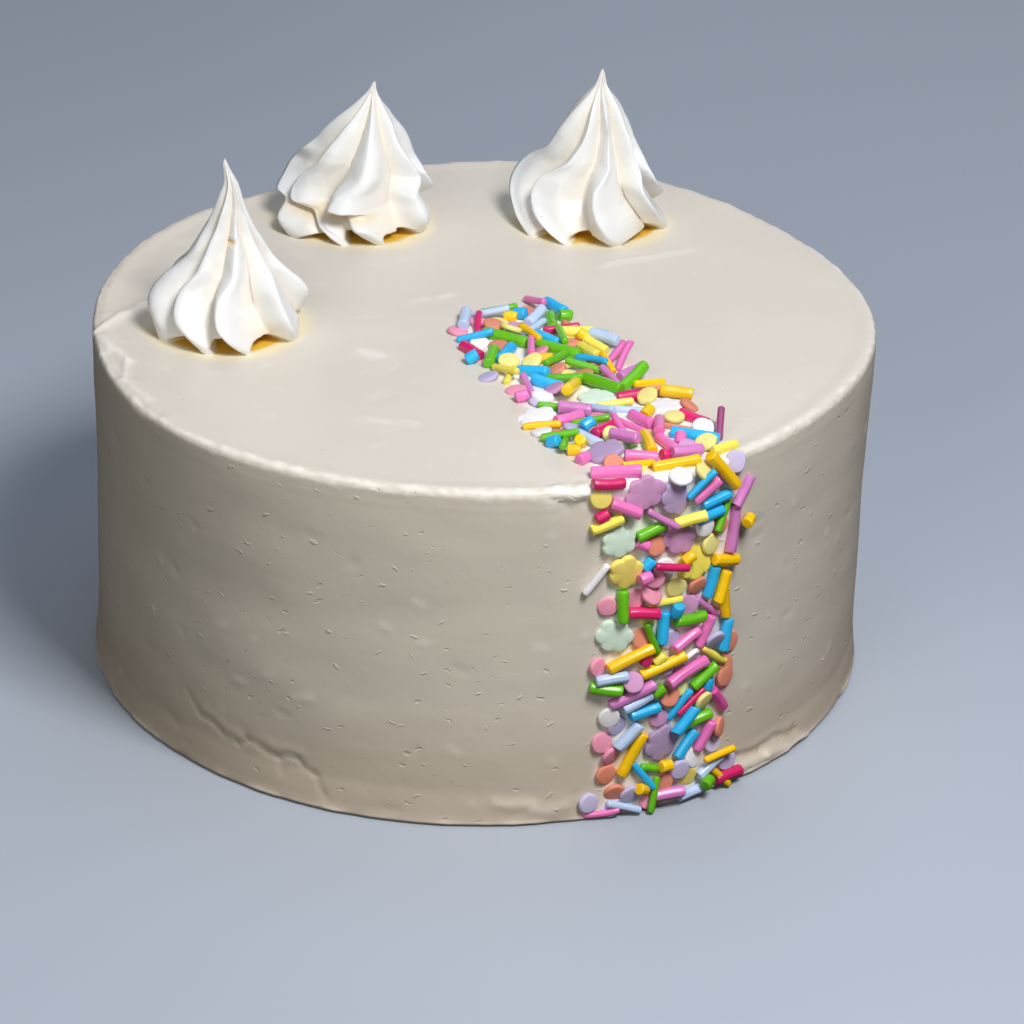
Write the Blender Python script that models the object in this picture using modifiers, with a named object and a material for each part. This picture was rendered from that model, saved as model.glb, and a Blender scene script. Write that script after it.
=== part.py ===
"""Confetti cake: a round cake in pale buttercream with three piped swirls and a band of sprinkles.

The cake's axis is Z and its flat base lies at Z = 0. The band of sprinkles starts near the middle
of the top, runs to the rim and on down the side, towards -Y and a little towards +X.
"""

import math
import random
from collections import namedtuple

import bmesh
import bpy
import numpy as np
from mathutils import Matrix, Vector

MM = 0.001

# The iced body
RIM_RADIUS = 97.0 * MM
BASE_RADIUS = 96.1 * MM
CAKE_HEIGHT = 89.6 * MM
LIP_OVERHANG = 0.9 * MM
LIP_RISE = 0.4 * MM
LIP_DROP = 4.0 * MM
FOOT_FLARE = 0.6 * MM
FOOT_HEIGHT = 9.0 * MM
CAKE_STEPS = 72

# How far the iced outline is from round: cosine and sine sizes for each number of waves round it
RIM_WAVES = {
    2: (-0.6 * MM, 1.7 * MM),
    3: (-0.3 * MM, -0.35 * MM),
    4: (0.45 * MM, -0.45 * MM),
    5: (0.9 * MM, 0.5 * MM),
}
BASE_WAVES = {2: (0.2 * MM, 0.5 * MM), 3: (0.2 * MM, 0.35 * MM)}

# The band of sprinkles: where its centre line starts on the top, and the way it runs from there
BAND_START = Vector((4.9 * MM, -0.2 * MM))
BAND_HEADING = math.radians(25.8)
BAND_INNER_END = 95.0 * MM
BAND_INNER_HALF = 15.0 * MM
BAND_RIM_HALF = 19.5 * MM
BAND_SIDE_HALF = 18.0 * MM
BAND_SIDE_SHIFT = 1.2 * MM
BAND_EDGE_WAVE = 1.6 * MM

# How the sprinkles lie
SINK = 0.45 * MM
CORNER_REACH = 3.0 * MM
FOOT_REACH = 7.0 * MM
FOOT_LEAN = math.radians(38.0)
FLOOR_GAP = 0.25 * MM
STEEPEST = 0.55
CELL = 0.5 * MM
BED_HALF_WIDTH = 36.0 * MM
BED_MARGIN = 12.0 * MM
PLACES_TRIED = 14

# Sprinkles: half length and half width, thickness, and how many are strewn at random
Kind = namedtuple("Kind", "half_length half_width thickness strewn")
KINDS = {
    "flower": Kind(4.7 * MM, 4.7 * MM, 1.7 * MM, 0),
    "long rod": Kind(6.0 * MM, 1.5 * MM, 3.0 * MM, 1),
    "short rod": Kind(4.0 * MM, 1.45 * MM, 2.9 * MM, 22),
    "disc": Kind(2.7 * MM, 2.7 * MM, 1.3 * MM, 28),
    "slim rod": Kind(4.6 * MM, 0.95 * MM, 1.9 * MM, 26),
    "stub": Kind(1.6 * MM, 1.5 * MM, 3.0 * MM, 10),
}
ROD_SIDES = 6
DISC_SIDES = 9
FLOWER_LOBES = 6
LOBE_DEPTH = 0.16
STREW_SEED = 27

# Sprinkles that stand out: kind, millimetres down from the rim, millimetres across from the
# centre line, degrees turned clockwise, and degrees that one end is lifted
STANDING_OUT = (
    ("flower", -39, -17, 0, 0),
    ("flower", -30, 14, 20, 0),
    ("flower", -15, -11, 0, 20),
    ("flower", 3, -8, 10, 0),
    ("flower", 6, 0, 40, 0),
    ("flower", 15, -14, 0, 0),
    ("flower", 17, 2, 25, 0),
    ("flower", 23, -12, 10, 0),
    ("flower", 25, 7, 0, 0),
    ("flower", 40, -14, 35, 0),
    ("flower", 72, 0, 15, 0),
    ("flower", -43, 1, 10, 0),
    ("disc", -94, -7, 0, 0),
    ("disc", -93, 7, 0, 0),
    ("disc", -91, -14, 0, 0),
    ("disc", -91, -3, 0, 0),
    ("disc", -87, 0, 0, 0),
    ("disc", -81, 13, 0, 0),
    ("disc", -73, 9, 0, 0),
    ("disc", -64, -18, 0, 0),
    ("disc", -63, 2, 0, 0),
    ("disc", -60, 9, 0, 0),
    ("disc", -57, 0, 0, 0),
    ("disc", -55, -15, 0, 0),
    ("disc", -51, 8, 0, 0),
    ("disc", -47, -13, 0, 0),
    ("disc", -29, -16, 0, 0),
    ("disc", -27, 19, 0, 0),
    ("disc", -9, -12, 0, 0),
    ("disc", 1, 1, 0, 0),
    ("disc", 1, 8, 0, 0),
    ("disc", 3, -19, 0, 0),
    ("disc", 21, 11, 0, 0),
    ("disc", 30, 2, 0, 0),
    ("disc", 31, -9, 0, 0),
    ("disc", 32, -16, 0, 0),
    ("disc", 36, 6, 0, 0),
    ("disc", 37, -5, 0, 0),
    ("disc", 42, -7, 0, 0),
    ("disc", 44, 1, 0, 0),
    ("disc", 48, -18, 0, 0),
    ("disc", 50, 19, 0, 0),
    ("disc", 51, 0, 0, 0),
    ("disc", 58, 4, 0, 0),
    ("disc", 65, -1, 0, 0),
    ("disc", 69, -16, 0, 0),
    ("disc", 83, -12, 0, 0),
    ("disc", 83, 8, 0, 0),
    ("disc", 83, 20, 0, 0),
    ("disc", 84, -8, 0, 0),
    ("disc", 85, -19, 0, 0),
    ("disc", 89, -13, 0, 0),
    ("disc", 89, -3, 0, 0),
    ("long rod", -82, -5, 55, 0),
    ("long rod", -70, 4, 57, 0),
    ("long rod", -48, -4, 128, 16),
    ("long rod", -47, 4, 70, 0),
    ("long rod", -45, 12, -28, 14),
    ("long rod", -3, 2, 6, 0),
    ("long rod", 2, 13, 52, 0),
    ("long rod", 46, -10, -20, 0),
    ("long rod", 50, -1, -16, 0),
    ("long rod", 56, -9, -24, 0),
    ("long rod", 54, 6, -17, 0),
    ("long rod", 73, -8, -64, 0),
    ("long rod", -13, 13, 46, 0),
    ("long rod", -16, 1, 107, 0),
    ("long rod", 19, 18, 97, 0),
    ("slim rod", -98, 1, 7, 0),
    ("slim rod", -59, 15, -30, 22),
    ("slim rod", -56, 16, -40, 30),
    ("slim rod", -12, 20, -60, 32),
    ("slim rod", -63, -13, -51, 0),
    ("slim rod", -34, 5, 31, 0),
    ("slim rod", -19, 12, 47, 0),
    ("slim rod", 24, -19, -53, 0),
    ("slim rod", 33, -1, 2, 0),
    ("slim rod", 79, -1, 22, 0),
    ("slim rod", 88, -10, 19, 0),
    ("short rod", -91, 14, 80, 0),
    ("short rod", -78, -16, 80, 0),
    ("short rod", -73, -14, 124, 0),
    ("short rod", -74, -9, 138, 0),
    ("short rod", -77, 4, 68, 0),
    ("short rod", -67, 13, 75, 0),
    ("short rod", -62, -7, 50, 0),
    ("short rod", -55, -7, 52, 0),
    ("short rod", -21, 17, 60, 0),
    ("short rod", -16, -6, 68, 0),
    ("short rod", 9, 12, -12, 0),
    ("short rod", 12, 10, -5, 0),
    ("short rod", 13, -6, -15, 0),
    ("short rod", 31, 12, -75, 0),
    ("short rod", 32, -13, 93, 0),
    ("short rod", 39, 6, 2, 0),
    ("short rod", 44, 11, -66, 0),
    ("short rod", 47, 17, -78, 0),
    ("short rod", 56, 11, -35, 0),
    ("short rod", 64, 16, 55, 0),
    ("short rod", 68, 10, -12, 0),
    ("short rod", 68, -9, -45, 0),
    ("short rod", 74, 7, -50, 0),
    ("short rod", 82, 14, -25, 0),
    ("short rod", 88, 9, -5, 0),
    ("short rod", -35, -11, -13, 0),
    ("short rod", -27, -6, -32, 0),
    ("short rod", 12, 4, -5, 0),
    ("short rod", 34, -7, 5, 0),
    ("short rod", 45, 5, -25, 0),
    ("short rod", 87, 2, 6, 0),
    ("short rod", 87, 20, -1, 0),
    ("stub", -67, -1, 30, 0),
    ("stub", -27, -9, 0, 0),
    ("stub", -20, -2, 60, 0),
    ("stub", -19, -17, 31, 0),
    ("stub", 22, 4, -29, 0),
    ("stub", 22, -6, -47, 0),
    ("stub", 83, -6, 20, 0),
    ("stub", 87, 12, -30, 0),
)

# The piped swirls: the foot's centre, the widest radius, the height, how far the tip leans over,
# degrees of twist, and the form as (share of the height, share of the widest radius)
Swirl = namedtuple("Swirl", "name foot radius height lean twist phase form")
SWIRLS = (
    Swirl(
        "swirl_left", (-63.0 * MM, -9.2 * MM), 19.4 * MM, 43.2 * MM, (0.8 * MM, 3.4 * MM), 26.0, 0.3,
        (
            (0, 0.94), (0.06, 0.98), (0.17, 0.98), (0.31, 0.80),
            (0.42, 0.56), (0.58, 0.32), (0.77, 0.15), (0.92, 0.05),
        ),
    ),
    Swirl(
        "swirl_middle", (-33.7 * MM, 58.2 * MM), 19.8 * MM, 37.5 * MM, (4.4 * MM, 2.0 * MM), 22.0, 1.1,
        (
            (0, 0.94), (0.07, 0.99), (0.19, 1.00), (0.32, 0.90),
            (0.53, 0.66), (0.74, 0.36), (0.86, 0.16), (0.94, 0.05),
        ),
    ),
    Swirl(
        "swirl_right", (26.1 * MM, 62.6 * MM), 20.0 * MM, 41.0 * MM, (2.6 * MM, 1.6 * MM), 24.0, 2.0,
        (
            (0, 0.94), (0.08, 0.99), (0.19, 0.99), (0.33, 0.85),
            (0.45, 0.66), (0.60, 0.50), (0.75, 0.33), (0.90, 0.08),
        ),
    ),
)
SWIRL_RIDGES = 8
SWIRL_STEPS = 6 * SWIRL_RIDGES
SWIRL_GAP = 0.3 * MM
RIDGE_DEPTH = 0.26
RIDGE_FOOT_DEPTH = 0.40
RIDGE_FOOT_SHARE = 0.16
TIP_RADIUS = 0.35 * MM
SWAY = 0.16

ICING = (0.80, 0.75, 0.66)
SWIRL_CREAM = (0.90, 0.87, 0.80)


def clear_scene():
    for old in list(bpy.data.objects):
        bpy.data.objects.remove(old)


def new_collection(name):
    collection = bpy.data.collections.new(name)
    bpy.context.scene.collection.children.link(collection)
    return collection


def material(name, colour, roughness):
    made = bpy.data.materials.new(name)
    made.use_nodes = True
    made.diffuse_color = (*colour, 1.0)
    shader = made.node_tree.nodes["Principled BSDF"]
    shader.inputs["Base Color"].default_value = (*colour, 1.0)
    shader.inputs["Roughness"].default_value = roughness
    shader.inputs["Metallic"].default_value = 0.0
    return made


def add_object(name, mesh, collection):
    made = bpy.data.objects.new(name, mesh)
    collection.objects.link(made)
    return made


def finish(obj, colour, roughness):
    obj.data.materials.clear()
    obj.data.materials.append(material(obj.name, colour, roughness))
    obj.data.shade_smooth()
    obj.data.set_sharp_from_angle(angle=math.radians(40.0))


def turned(name, profile, steps, collection):
    """A solid turned round Z from a profile of (radius, height) that runs from the top down."""
    mesh = bpy.data.meshes.new(name)
    points = [(radius, 0.0, height) for radius, height in profile]
    mesh.from_pydata(points, [(i, i + 1) for i in range(len(points) - 1)], [])
    obj = add_object(name, mesh, collection)
    screw = obj.modifiers.new("turn", "SCREW")
    screw.steps = steps
    screw.render_steps = steps
    screw.use_merge_vertices = True
    screw.merge_threshold = 0.01 * MM
    bpy.context.view_layer.update()
    solid = bpy.data.meshes.new_from_object(obj.evaluated_get(bpy.context.evaluated_depsgraph_get()))
    obj.modifiers.clear()
    obj.data = solid
    bpy.data.meshes.remove(mesh)
    return obj


def weld(mesh):
    shape = bmesh.new()
    shape.from_mesh(mesh)
    bmesh.ops.remove_doubles(shape, verts=shape.verts, dist=0.01 * MM)
    bmesh.ops.dissolve_degenerate(shape, edges=shape.edges, dist=0.001 * MM)
    shape.to_mesh(mesh)
    shape.free()


def waves(sizes, angle):
    return sum(c * math.cos(k * angle) + s * math.sin(k * angle) for k, (c, s) in sizes.items())


def outline_shift(angle, height):
    """How far the icing at this height is pushed out from a true circle."""
    share = min(max(height / CAKE_HEIGHT, 0.0), 1.0)
    return share * waves(RIM_WAVES, angle) + (1.0 - share) * waves(BASE_WAVES, angle)


def cake_profile():
    """The icing's section as (radius, height): the flat top, the raised lip, the wall and the foot."""
    wall_top = RIM_RADIUS - LIP_OVERHANG
    return (
        (0.0, CAKE_HEIGHT),
        (RIM_RADIUS - 24.0 * MM, CAKE_HEIGHT),
        (RIM_RADIUS - 6.0 * MM, CAKE_HEIGHT),
        (RIM_RADIUS - 2.4 * MM, CAKE_HEIGHT + LIP_RISE),
        (RIM_RADIUS - 0.6 * MM, CAKE_HEIGHT),
        (RIM_RADIUS, CAKE_HEIGHT - 1.1 * MM),
        (wall_top, CAKE_HEIGHT - LIP_DROP),
        (0.5 * (wall_top + BASE_RADIUS - FOOT_FLARE), 0.5 * CAKE_HEIGHT),
        (BASE_RADIUS - FOOT_FLARE, FOOT_HEIGHT),
        (BASE_RADIUS, 1.6 * MM),
        (BASE_RADIUS - 0.7 * MM, 0.0),
        (0.0, 0.0),
    )


def wall_radius(angle, height):
    """The icing's radius on the side, read from its section."""
    outer = sorted((z, r) for r, z in cake_profile()[5:11])
    plain = np.interp(height, [z for z, _ in outer], [r for _, r in outer])
    return float(plain) + outline_shift(angle, height)


def build_cake(collection):
    cake = turned("cake", cake_profile(), CAKE_STEPS, collection)
    weld(cake.data)
    for vertex in cake.data.vertices:
        x, y, z = vertex.co
        radius = math.hypot(x, y)
        if radius > RIM_RADIUS / 2:
            angle = math.atan2(y, x)
            share = 1.0 + outline_shift(angle, z) / RIM_RADIUS
            vertex.co = (x * share, y * share, z)
    return cake


def band_axes():
    """Unit vectors on the top: along the band towards the rim, and across it to its right."""
    along = Vector((math.sin(BAND_HEADING), -math.cos(BAND_HEADING)))
    return along, Vector((-along.y, along.x))


def rim_reach(across):
    """How far along the band the rim lies, for this distance across it."""
    along, right = band_axes()
    beside = BAND_START + across * right
    reach = RIM_RADIUS
    for _ in range(6):
        point = beside + reach * along
        radius = RIM_RADIUS + waves(RIM_WAVES, math.atan2(point.y, point.x))
        reach = -beside.dot(along) + math.sqrt(beside.dot(along) ** 2 - beside.length_squared + radius ** 2)
    return reach


def band_frame(down, across):
    """The place on the icing, as a matrix whose X runs across, Y up the band and Z outwards.

    down is measured from the rim: below zero on the top, above zero on the side.
    """
    along, right = band_axes()
    flat = BAND_START + (rim_reach(across) + min(down, 0.0)) * along + across * right
    angle = math.atan2(flat.y, flat.x)
    out = Vector((math.cos(angle), math.sin(angle), 0.0))
    height = max(CAKE_HEIGHT - max(down, 0.0), 0.0)
    if down <= 0.0:
        place = Vector((flat.x, flat.y, CAKE_HEIGHT))
        tilt = max(0.0, 1.0 + down / CORNER_REACH) * math.pi / 4
    else:
        place = wall_radius(angle, height) * out + Vector((0.0, 0.0, height))
        tilt = (1.0 + min(down / CORNER_REACH, 1.0)) * math.pi / 4
        tilt -= FOOT_LEAN * max(0.0, 1.0 - height / FOOT_REACH)
    top_run = Vector((along.x, along.y, 0.0))
    ahead = out if down > 0.0 else top_run
    normal = math.cos(tilt) * Vector((0, 0, 1)) + math.sin(tilt) * ahead
    up = math.sin(tilt) * Vector((0, 0, 1)) - math.cos(tilt) * ahead
    side = up.cross(normal)
    frame = Matrix((side, up, normal)).transposed().to_4x4()
    frame.translation = place
    return frame


def band_half_width(down):
    """Half the band's width: narrow at its inner end, full at the rim, with uneven edges."""
    marks = (-BAND_INNER_END, -0.4 * BAND_INNER_END, 0.0, CAKE_HEIGHT)
    halves = (BAND_INNER_HALF, BAND_RIM_HALF, BAND_RIM_HALF, BAND_SIDE_HALF)
    wave = BAND_EDGE_WAVE * math.sin(down / (6.5 * MM))
    return float(np.interp(down, marks, halves)) + wave


class Bed:
    """How high the sprinkles already lie over the icing, on a grid over the unrolled band."""

    def __init__(self):
        self.first_down = -BAND_INNER_END - BED_MARGIN
        rows = int((CAKE_HEIGHT + BED_MARGIN - self.first_down) / CELL)
        columns = int(2 * BED_HALF_WIDTH / CELL)
        self.down = self.first_down + (np.arange(rows) + 0.5) * CELL
        self.across = -BED_HALF_WIDTH + (np.arange(columns) + 0.5) * CELL
        self.height = np.zeros((rows, columns))

    def under(self, kind, down, across, turn):
        """The grid cells that a sprinkle covers, and their places from its middle."""
        reach = kind.half_length + CELL
        rows = np.flatnonzero(np.abs(self.down - down) < reach)
        columns = np.flatnonzero(np.abs(self.across - across) < reach)
        row, column = (a.ravel() for a in np.meshgrid(rows, columns, indexing="ij"))
        x = self.across[column] - across
        y = down - self.down[row]
        length = x * math.cos(turn) - y * math.sin(turn)
        width = x * math.sin(turn) + y * math.cos(turn)
        inside = (length / kind.half_length) ** 2 + (width / kind.half_width) ** 2 < 1.0
        if kind.half_length > 1.2 * kind.half_width:
            inside = (np.abs(length) < kind.half_length) & (np.abs(width) < kind.half_width)
        return row[inside], column[inside], x[inside], y[inside]

    def settle(self, kind, down, across, turn, lift):
        """Rests a sprinkle on what lies there: its height and its slopes across and up the band."""
        row, column, x, y = self.under(kind, down, across, turn)
        heights = self.height[row, column]
        if lift:
            across_slope = math.tan(lift) * math.cos(turn)
            up_slope = -math.tan(lift) * math.sin(turn)
            base = 0.0
        else:
            weight = np.ones(len(x))
            for _ in range(3):
                sides = np.stack([np.ones(len(x)), x, y], 1) * weight[:, None]
                base, across_slope, up_slope = np.linalg.lstsq(sides, heights * weight, rcond=None)[0]
                weight = np.where(heights > base + across_slope * x + up_slope * y, 3.0, 1.0)
            across_slope = min(max(across_slope, -STEEPEST), STEEPEST)
            up_slope = min(max(up_slope, -STEEPEST), STEEPEST)
        above = heights - (across_slope * x + up_slope * y)
        base = float(np.quantile(above, 0.9)) - SINK
        top = base + across_slope * x + up_slope * y + kind.thickness
        self.height[row, column] = np.maximum(heights, top)
        return base, across_slope, up_slope

    def cover(self, kind, down, across, turn):
        """The mean height of what lies under a sprinkle put there."""
        row, column, _, _ = self.under(kind, down, across, turn)
        return float(self.height[row, column].mean())


def strewn_sprinkles(rng, bed):
    """The rest of the sprinkles: each takes the barest of a few places drawn at random."""
    for name, kind in KINDS.items():
        for _ in range(kind.strewn):
            turn = rng.uniform(-math.pi / 2, math.pi / 2)
            places = []
            for _ in range(PLACES_TRIED):
                down = rng.uniform(-BAND_INNER_END, CAKE_HEIGHT)
                across = rng.uniform(-1.0, 1.0) * (band_half_width(down) - 0.5 * kind.half_length)
                across += BAND_SIDE_SHIFT * (down > 0.0)
                places.append((bed.cover(kind, down, across, turn), down, across))
            _, down, across = min(places)
            yield name, down, across, turn, 0.0


def place_sprinkles():
    """Every sprinkle as (kind, matrix), the ones that stand out first."""
    rng = random.Random(STREW_SEED)
    bed = Bed()
    listed = [
        (name, down * MM, across * MM, math.radians(turn), math.radians(lift))
        for name, down, across, turn, lift in STANDING_OUT
    ]
    placed = []

    def put(name, down, across, turn, lift):
        base, across_slope, up_slope = bed.settle(KINDS[name], down, across, turn, lift)
        normal = Vector((-across_slope, -up_slope, 1.0)).normalized()
        ahead = Vector((math.cos(turn), -math.sin(turn), 0.0))
        ahead = (ahead - ahead.dot(normal) * normal).normalized()
        lie = Matrix((ahead, normal.cross(ahead), normal)).transposed().to_4x4()
        lie.translation = (0.0, 0.0, base)
        placed.append((name, band_frame(down, across) @ lie))

    for row in listed:
        put(*row)
    for row in strewn_sprinkles(rng, bed):
        put(*row)
    return placed


def sprinkle_mesh(name):
    """A sprinkle of this kind that lies on Z = 0, its length along X."""
    kind = KINDS[name]
    shape = bmesh.new()
    if kind.half_length > 1.2 * kind.half_width or name == "stub":
        stand = Matrix.Translation((0, 0, kind.half_width)) @ Matrix.Rotation(math.pi / 2, 4, "Y")
        bmesh.ops.create_cone(
            shape, cap_ends=True, segments=ROD_SIDES, radius1=kind.half_width, radius2=kind.half_width,
            depth=2 * kind.half_length, matrix=stand,
        )
    else:
        sides = 3 * FLOWER_LOBES if name == "flower" else DISC_SIDES
        bmesh.ops.create_cone(
            shape, cap_ends=True, segments=sides, radius1=kind.half_width, radius2=kind.half_width,
            depth=kind.thickness, matrix=Matrix.Translation((0, 0, kind.thickness / 2)),
        )
    if name == "flower":
        for vertex in shape.verts:
            lobe = math.cos(FLOWER_LOBES * math.atan2(vertex.co.y, vertex.co.x))
            vertex.co.xy *= 1.0 - LOBE_DEPTH * (lobe + 0.5) / 1.5
    mesh = bpy.data.meshes.new(name)
    shape.to_mesh(mesh)
    shape.free()
    return mesh


def build_sprinkles(collection):
    meshes = {name: sprinkle_mesh(name) for name in KINDS}
    for index, (name, matrix) in enumerate(place_sprinkles()):
        sprinkle = add_object(f"sprinkle_{index:03d}", meshes[name].copy(), collection)
        lowest = min((matrix @ vertex.co).z for vertex in sprinkle.data.vertices)
        lift = max(0.0, FLOOR_GAP - lowest)
        sprinkle.matrix_world = Matrix.Translation((0, 0, lift)) @ matrix


def keep_outer_shell(mesh):
    """Drops every shell but the largest, which fills sealed hollows and removes loose scraps."""
    shape = bmesh.new()
    shape.from_mesh(mesh)
    shells = []
    waiting = set(shape.verts)
    while waiting:
        shell = [waiting.pop()]
        for vertex in shell:
            for edge in vertex.link_edges:
                other = edge.other_vert(vertex)
                if other in waiting:
                    waiting.remove(other)
                    shell.append(other)
        shells.append(shell)
    shells.sort(key=len)
    for shell in shells[:-1]:
        bmesh.ops.delete(shape, geom=shell, context="VERTS")
    shape.to_mesh(mesh)
    shape.free()


def fuse(obj, collection):
    """Joins everything in the collection to the object, and removes the collection's objects.

    The MANIFOLD solver does in seconds what EXACT takes minutes over with this many pieces.
    """
    join = obj.modifiers.new("fuse", "BOOLEAN")
    join.operation = "UNION"
    join.operand_type = "COLLECTION"
    join.collection = collection
    join.solver = "MANIFOLD"
    bpy.context.view_layer.update()
    fused = bpy.data.meshes.new_from_object(obj.evaluated_get(bpy.context.evaluated_depsgraph_get()))
    obj.modifiers.clear()
    plain = obj.data
    obj.data = fused
    bpy.data.meshes.remove(plain)
    for sprinkle in list(collection.objects):
        bpy.data.objects.remove(sprinkle)
    keep_outer_shell(obj.data)


def swirl_profile(swirl):
    """The swirl's section as (radius, height), from the tip down to the middle of the foot."""
    rings = [(swirl.radius * share, swirl.height * level) for level, share in reversed(swirl.form)]
    return [(0.0, swirl.height), (TIP_RADIUS, 0.985 * swirl.height), *rings, (0.0, 0.0)]


def pipe(swirl, point):
    """Where a point of the plain turned form goes: into its ridges, round with the twist, and over."""
    angle = math.atan2(point.y, point.x)
    level = point.z / swirl.height
    ridge = abs(math.cos(SWIRL_RIDGES * angle / 2)) ** 0.7
    depth = RIDGE_DEPTH
    if level < RIDGE_FOOT_SHARE:
        depth += (RIDGE_FOOT_DEPTH - RIDGE_DEPTH) * (1.0 - level / RIDGE_FOOT_SHARE)
    uneven = 1.0 + 0.05 * math.cos(2 * angle + swirl.phase) + 0.04 * math.cos(3 * angle - 2 * swirl.phase)
    radius = math.hypot(point.x, point.y) * uneven * (1.0 - depth * (1.0 - ridge))
    turn = math.radians(swirl.twist) * level + SWAY * math.sin(2 * math.pi * level + swirl.phase + 2 * angle)
    lean = Vector(swirl.lean) * level ** 1.5
    x = swirl.foot[0] + lean.x + radius * math.cos(angle + turn)
    y = swirl.foot[1] + lean.y + radius * math.sin(angle + turn)
    return Vector((x, y, CAKE_HEIGHT + SWIRL_GAP + point.z))


def build_swirl(swirl, collection):
    made = turned(swirl.name, swirl_profile(swirl), SWIRL_STEPS, collection)
    weld(made.data)
    for vertex in made.data.vertices:
        vertex.co = pipe(swirl, vertex.co)
    finish(made, SWIRL_CREAM, 0.35)


def main():
    clear_scene()
    parts = new_collection("confetti_cake")
    sprinkles = new_collection("sprinkles")
    cake = build_cake(parts)
    build_sprinkles(sprinkles)
    fuse(cake, sprinkles)
    finish(cake, ICING, 0.5)
    for swirl in SWIRLS:
        build_swirl(swirl, parts)


main()
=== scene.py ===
"""Confetti cake: the looks of the iced cake, its band of sprinkles and its three piped swirls.

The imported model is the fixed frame: metres, +Z up, the cake's axis on Z and its base at Z = 0.
Angles round the cake are given as azimuths, in degrees from -Y towards +X.
"""

import logging
import math
import random
from collections.abc import Callable, Iterator, Sequence
from dataclasses import dataclass, field
from enum import Enum

import bmesh
import bpy
import numpy as np
from mathutils import Matrix, Vector, noise


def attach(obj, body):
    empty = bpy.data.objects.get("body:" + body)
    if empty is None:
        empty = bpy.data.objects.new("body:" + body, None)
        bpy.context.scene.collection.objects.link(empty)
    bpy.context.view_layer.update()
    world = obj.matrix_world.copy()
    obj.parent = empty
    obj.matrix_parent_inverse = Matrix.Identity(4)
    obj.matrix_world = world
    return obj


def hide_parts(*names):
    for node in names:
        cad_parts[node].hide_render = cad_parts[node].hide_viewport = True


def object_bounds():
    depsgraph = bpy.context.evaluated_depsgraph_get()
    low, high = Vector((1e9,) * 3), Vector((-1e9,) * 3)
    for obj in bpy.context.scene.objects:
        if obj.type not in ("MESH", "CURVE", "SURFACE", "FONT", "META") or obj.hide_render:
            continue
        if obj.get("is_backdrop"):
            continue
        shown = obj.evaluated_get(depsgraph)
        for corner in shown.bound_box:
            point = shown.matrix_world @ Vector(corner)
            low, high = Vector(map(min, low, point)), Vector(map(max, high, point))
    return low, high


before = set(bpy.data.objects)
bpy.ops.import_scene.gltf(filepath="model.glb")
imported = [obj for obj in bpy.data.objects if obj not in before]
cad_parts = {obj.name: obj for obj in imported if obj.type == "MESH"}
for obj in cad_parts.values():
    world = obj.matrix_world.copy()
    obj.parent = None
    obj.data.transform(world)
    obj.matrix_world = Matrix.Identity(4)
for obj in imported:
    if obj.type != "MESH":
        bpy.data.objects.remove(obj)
CAD_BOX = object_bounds()

LOG = logging.getLogger("confetti_cake")
MM = 0.001
Waves = tuple[tuple[int, float, float], ...]
Socket = bpy.types.NodeSocket


def linear(paint: Sequence[float]) -> tuple[float, float, float]:
    """Turns a colour as painted, 0 to 255 a channel, into the linear values that shaders take."""
    shares = [channel / 255.0 for channel in paint]
    return tuple(s / 12.92 if s <= 0.04045 else ((s + 0.055) / 1.055) ** 2.4 for s in shares)


def ramp(value: np.ndarray | float, start: float, end: float) -> np.ndarray:
    """Goes smoothly from 0 at start to 1 at end, which may lie on either side of it."""
    share = np.clip((np.asarray(value, float) - start) / (end - start), 0.0, 1.0)
    return share * share * (3.0 - 2.0 * share)


def rough(points: np.ndarray, size: float, seed: float = 0.0, octaves: int = 2) -> np.ndarray:
    """Smooth random relief, about -1 to 1, that depends only on the place.

    Args:
        points: One row of x, y and z for each place.
        size: The width of the relief's largest forms, in metres.
        seed: Moves the relief, so that two uses don't look alike.
        octaves: How many finer layers are added, each half as high.

    Returns:
        The relief at each place.
    """
    shift = Vector((seed, 2.3 * seed, -1.7 * seed))
    return np.array([noise.fractal(Vector(p) / size + shift, 1.0, 2.0, octaves) for p in points])


def revolve(section: Sequence[tuple[float, float]], steps: int, sectors: int = 16) -> bmesh.types.BMesh:
    """Turns a section round Z into a closed shape: one sector step by step, and copies of it.

    Args:
        section: Radius and height of each row, from the axis at the top to the axis at the bottom.
        steps: How many steps make the whole turn, a multiple of sectors.
        sectors: How many equal sectors it is made of.

    Returns:
        The closed shape.
    """
    shape = bmesh.new()
    rows = [shape.verts.new((radius, 0.0, height)) for radius, height in section]
    for upper, lower in zip(rows, rows[1:]):
        shape.edges.new((upper, lower))
    bmesh.ops.spin(
        shape, geom=shape.verts[:] + shape.edges[:], cent=(0.0, 0.0, 0.0), axis=(0.0, 0.0, 1.0),
        angle=math.tau / sectors, steps=steps // sectors,
    )
    bmesh.ops.spin(
        shape, geom=shape.verts[:] + shape.edges[:] + shape.faces[:], cent=(0.0, 0.0, 0.0),
        axis=(0.0, 0.0, 1.0), angle=math.tau * (1.0 - 1.0 / sectors), steps=sectors - 1, use_duplicate=True,
    )
    bmesh.ops.remove_doubles(shape, verts=shape.verts, dist=0.004 * MM)
    bmesh.ops.recalc_face_normals(shape, faces=shape.faces)
    return shape


def new_piece(name: str, shape: bmesh.types.BMesh) -> bpy.types.Object:
    """Turns a finished bmesh into an object at the origin, shaded smooth, and links it.

    Args:
        name: The piece's name.
        shape: The bmesh, which is freed.

    Returns:
        The new object.
    """
    mesh = bpy.data.meshes.new(name)
    shape.to_mesh(mesh)
    shape.free()
    mesh.shade_smooth()
    piece = bpy.data.objects.new(name, mesh)
    bpy.context.scene.collection.objects.link(piece)
    return piece


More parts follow.
